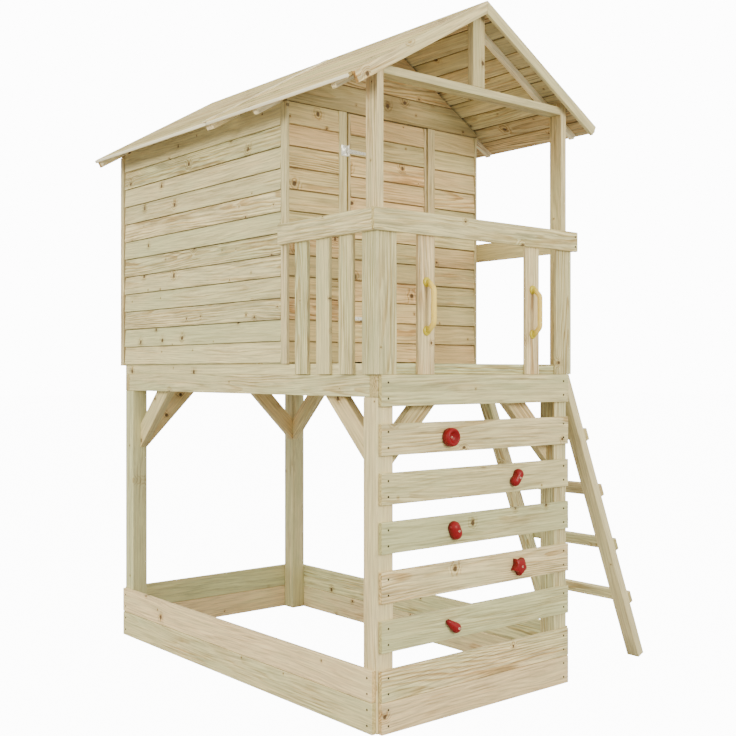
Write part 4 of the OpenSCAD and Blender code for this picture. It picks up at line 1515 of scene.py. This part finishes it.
@dataclass
class Roof:
    """Roof boards, with painted shade on their undersides, cleats, bargeboards and the strips over the panel
    joints.
    """

    slopes: Seeded = (("roof_left", 161), ("roof_right", 162))
    slope_edge: float = 0.0035
    downward: float = -0.6
    cleat_seed: int = 163
    barge_seed: int = 164
    strip_seed: int = 165
    strip_edge: float = 0.001

    def build(self, shop: Workshop) -> None:
        """Make and dress the roof."""
        for node, seed in self.slopes:
            piece = shop.timber(node, Timber.ROOF, seed, self.slope_edge, Cut.ROOF, 1)
            # Downward faces take the darker soffit copy: painted shade on the roof's underside.
            piece.data.materials.append(Timber.SHADED_SOFFIT.value.material())
            for face in piece.data.polygons:
                face.material_index = int(face.normal.z < self.downward)
        shop.timber("roof_cleats", Timber.STRIP, self.cleat_seed)
        shop.timber("bargeboards", Timber.BARGE, self.barge_seed)
        shop.timber("seam_strips", Timber.STRIP, self.strip_seed, self.strip_edge)


@dataclass
class Ladder:
    """Two leaning stringers with flat rungs."""

    edge: float = 0.003
    stringers: Seeded = (("stringer_near", 171), ("stringer_far", 172))
    rung_seed: int = 173

    def build(self, shop: Workshop) -> None:
        """Make and dress the ladder."""
        for node, seed in self.stringers:
            shop.timber(node, Timber.POST, seed, self.edge)
        shop.timber("rungs_set", Timber.BOARD, self.rung_seed, self.edge)


@dataclass
class Studio:
    """Camera, floor and soft light."""

    stand: Triple = (-3.49829, -4.22300, 1.42570)
    yaw: float = math.radians(39.80)
    lens: float = 51.863
    sensor: float = 36.0
    shift: float = 4.34 / 736.0
    floor_reach: float = 60.0
    tint: RGB = (1.0, 0.97, 0.8)
    low_sky: float = 1.2
    high_sky: float = 1.35
    backdrop: float = 16.0
    box_power: float = 500.0
    box_size: float = 2.5
    box_places: tuple[Triple, ...] = ((-8.6, 0.3, 3.7), (-0.2, -8.9, 3.6))
    box_target: Triple = (-0.2, 0.0, 1.4)

    def build(self) -> None:
        """Set up the camera, the floor and the lights."""
        self.camera()
        self.floor()
        self.sky()
        for number, place in enumerate(self.box_places):
            self.soft_box(f"soft_box_{number}", Vector(place))

    def camera(self) -> None:
        """Place the camera where the photograph was taken from."""
        data = bpy.data.cameras.new("camera")
        data.lens = self.lens
        data.sensor_width = self.sensor
        data.shift_y = self.shift
        made = bpy.data.objects.new("camera", data)
        made.location = self.stand
        made.rotation_euler = (math.pi / 2, 0.0, -self.yaw)
        bpy.context.scene.collection.objects.link(made)
        bpy.context.scene.camera = made

    def floor(self) -> None:
        """Lay the pale floor."""
        mesh = bpy.data.meshes.new("floor")
        far = self.floor_reach
        corners = [(-far, -far, 0.0), (far, -far, 0.0), (far, far, 0.0), (-far, far, 0.0)]
        mesh.from_pydata(corners, [], [(0, 1, 2, 3)])
        made = bpy.data.objects.new("floor", mesh)
        mesh.materials.append(PaleFloor().material())
        bpy.context.scene.collection.objects.link(made)

    def sky(self) -> None:
        """Light the scene softly from all round and show a plain white backdrop."""
        world = bpy.data.worlds.new("studio")
        world.use_nodes = True
        world.node_tree.nodes.clear()
        pen = NodePen(world.node_tree)
        height = pen.split("XYZ", pen.node("ShaderNodeTexCoord").outputs["Generated"])[2]
        power = pen.span(height, 0.0, 1.0, self.low_sky, self.high_sky)
        light = pen.node("ShaderNodeBackground", {0: (*self.tint, 1.0), 1: power}).outputs[0]
        white = pen.node("ShaderNodeBackground", {1: self.backdrop}).outputs[0]
        seen = pen.node("ShaderNodeLightPath").outputs["Is Camera Ray"]
        choice = pen.node("ShaderNodeMixShader", {0: seen, 1: light, 2: white}).outputs[0]
        pen.node("ShaderNodeOutputWorld", {0: choice})
        bpy.context.scene.world = world

    def soft_box(self, name: str, place: Vector) -> None:
        """Hang one large soft light that points at the object.

        Args:
            name: Name of the light.
            place: Where it hangs.
        """
        data = bpy.data.lights.new(name, "AREA")
        data.size = self.box_size
        data.energy = self.box_power
        data.color = self.tint
        made = bpy.data.objects.new(name, data)
        made.location = place
        made.rotation_euler = (Vector(self.box_target) - place).to_track_quat("-Z", "Y").to_euler()
        bpy.context.scene.collection.objects.link(made)


def main() -> None:
    """Build every sub-assembly in order and note the sizes."""
    logging.basicConfig(level=logging.INFO, format="%(message)s")
    Studio().build()
    shop = Workshop()
    for assembly in (LowerFrame(), ClimbingWall(), Deck(), Balcony(), Cabin(), Door(), Roof(), Ladder()):
        assembly.build(shop)
        LOG.info("%s done", type(assembly).__name__)
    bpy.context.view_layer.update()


if __name__ == "__main__":
    main()
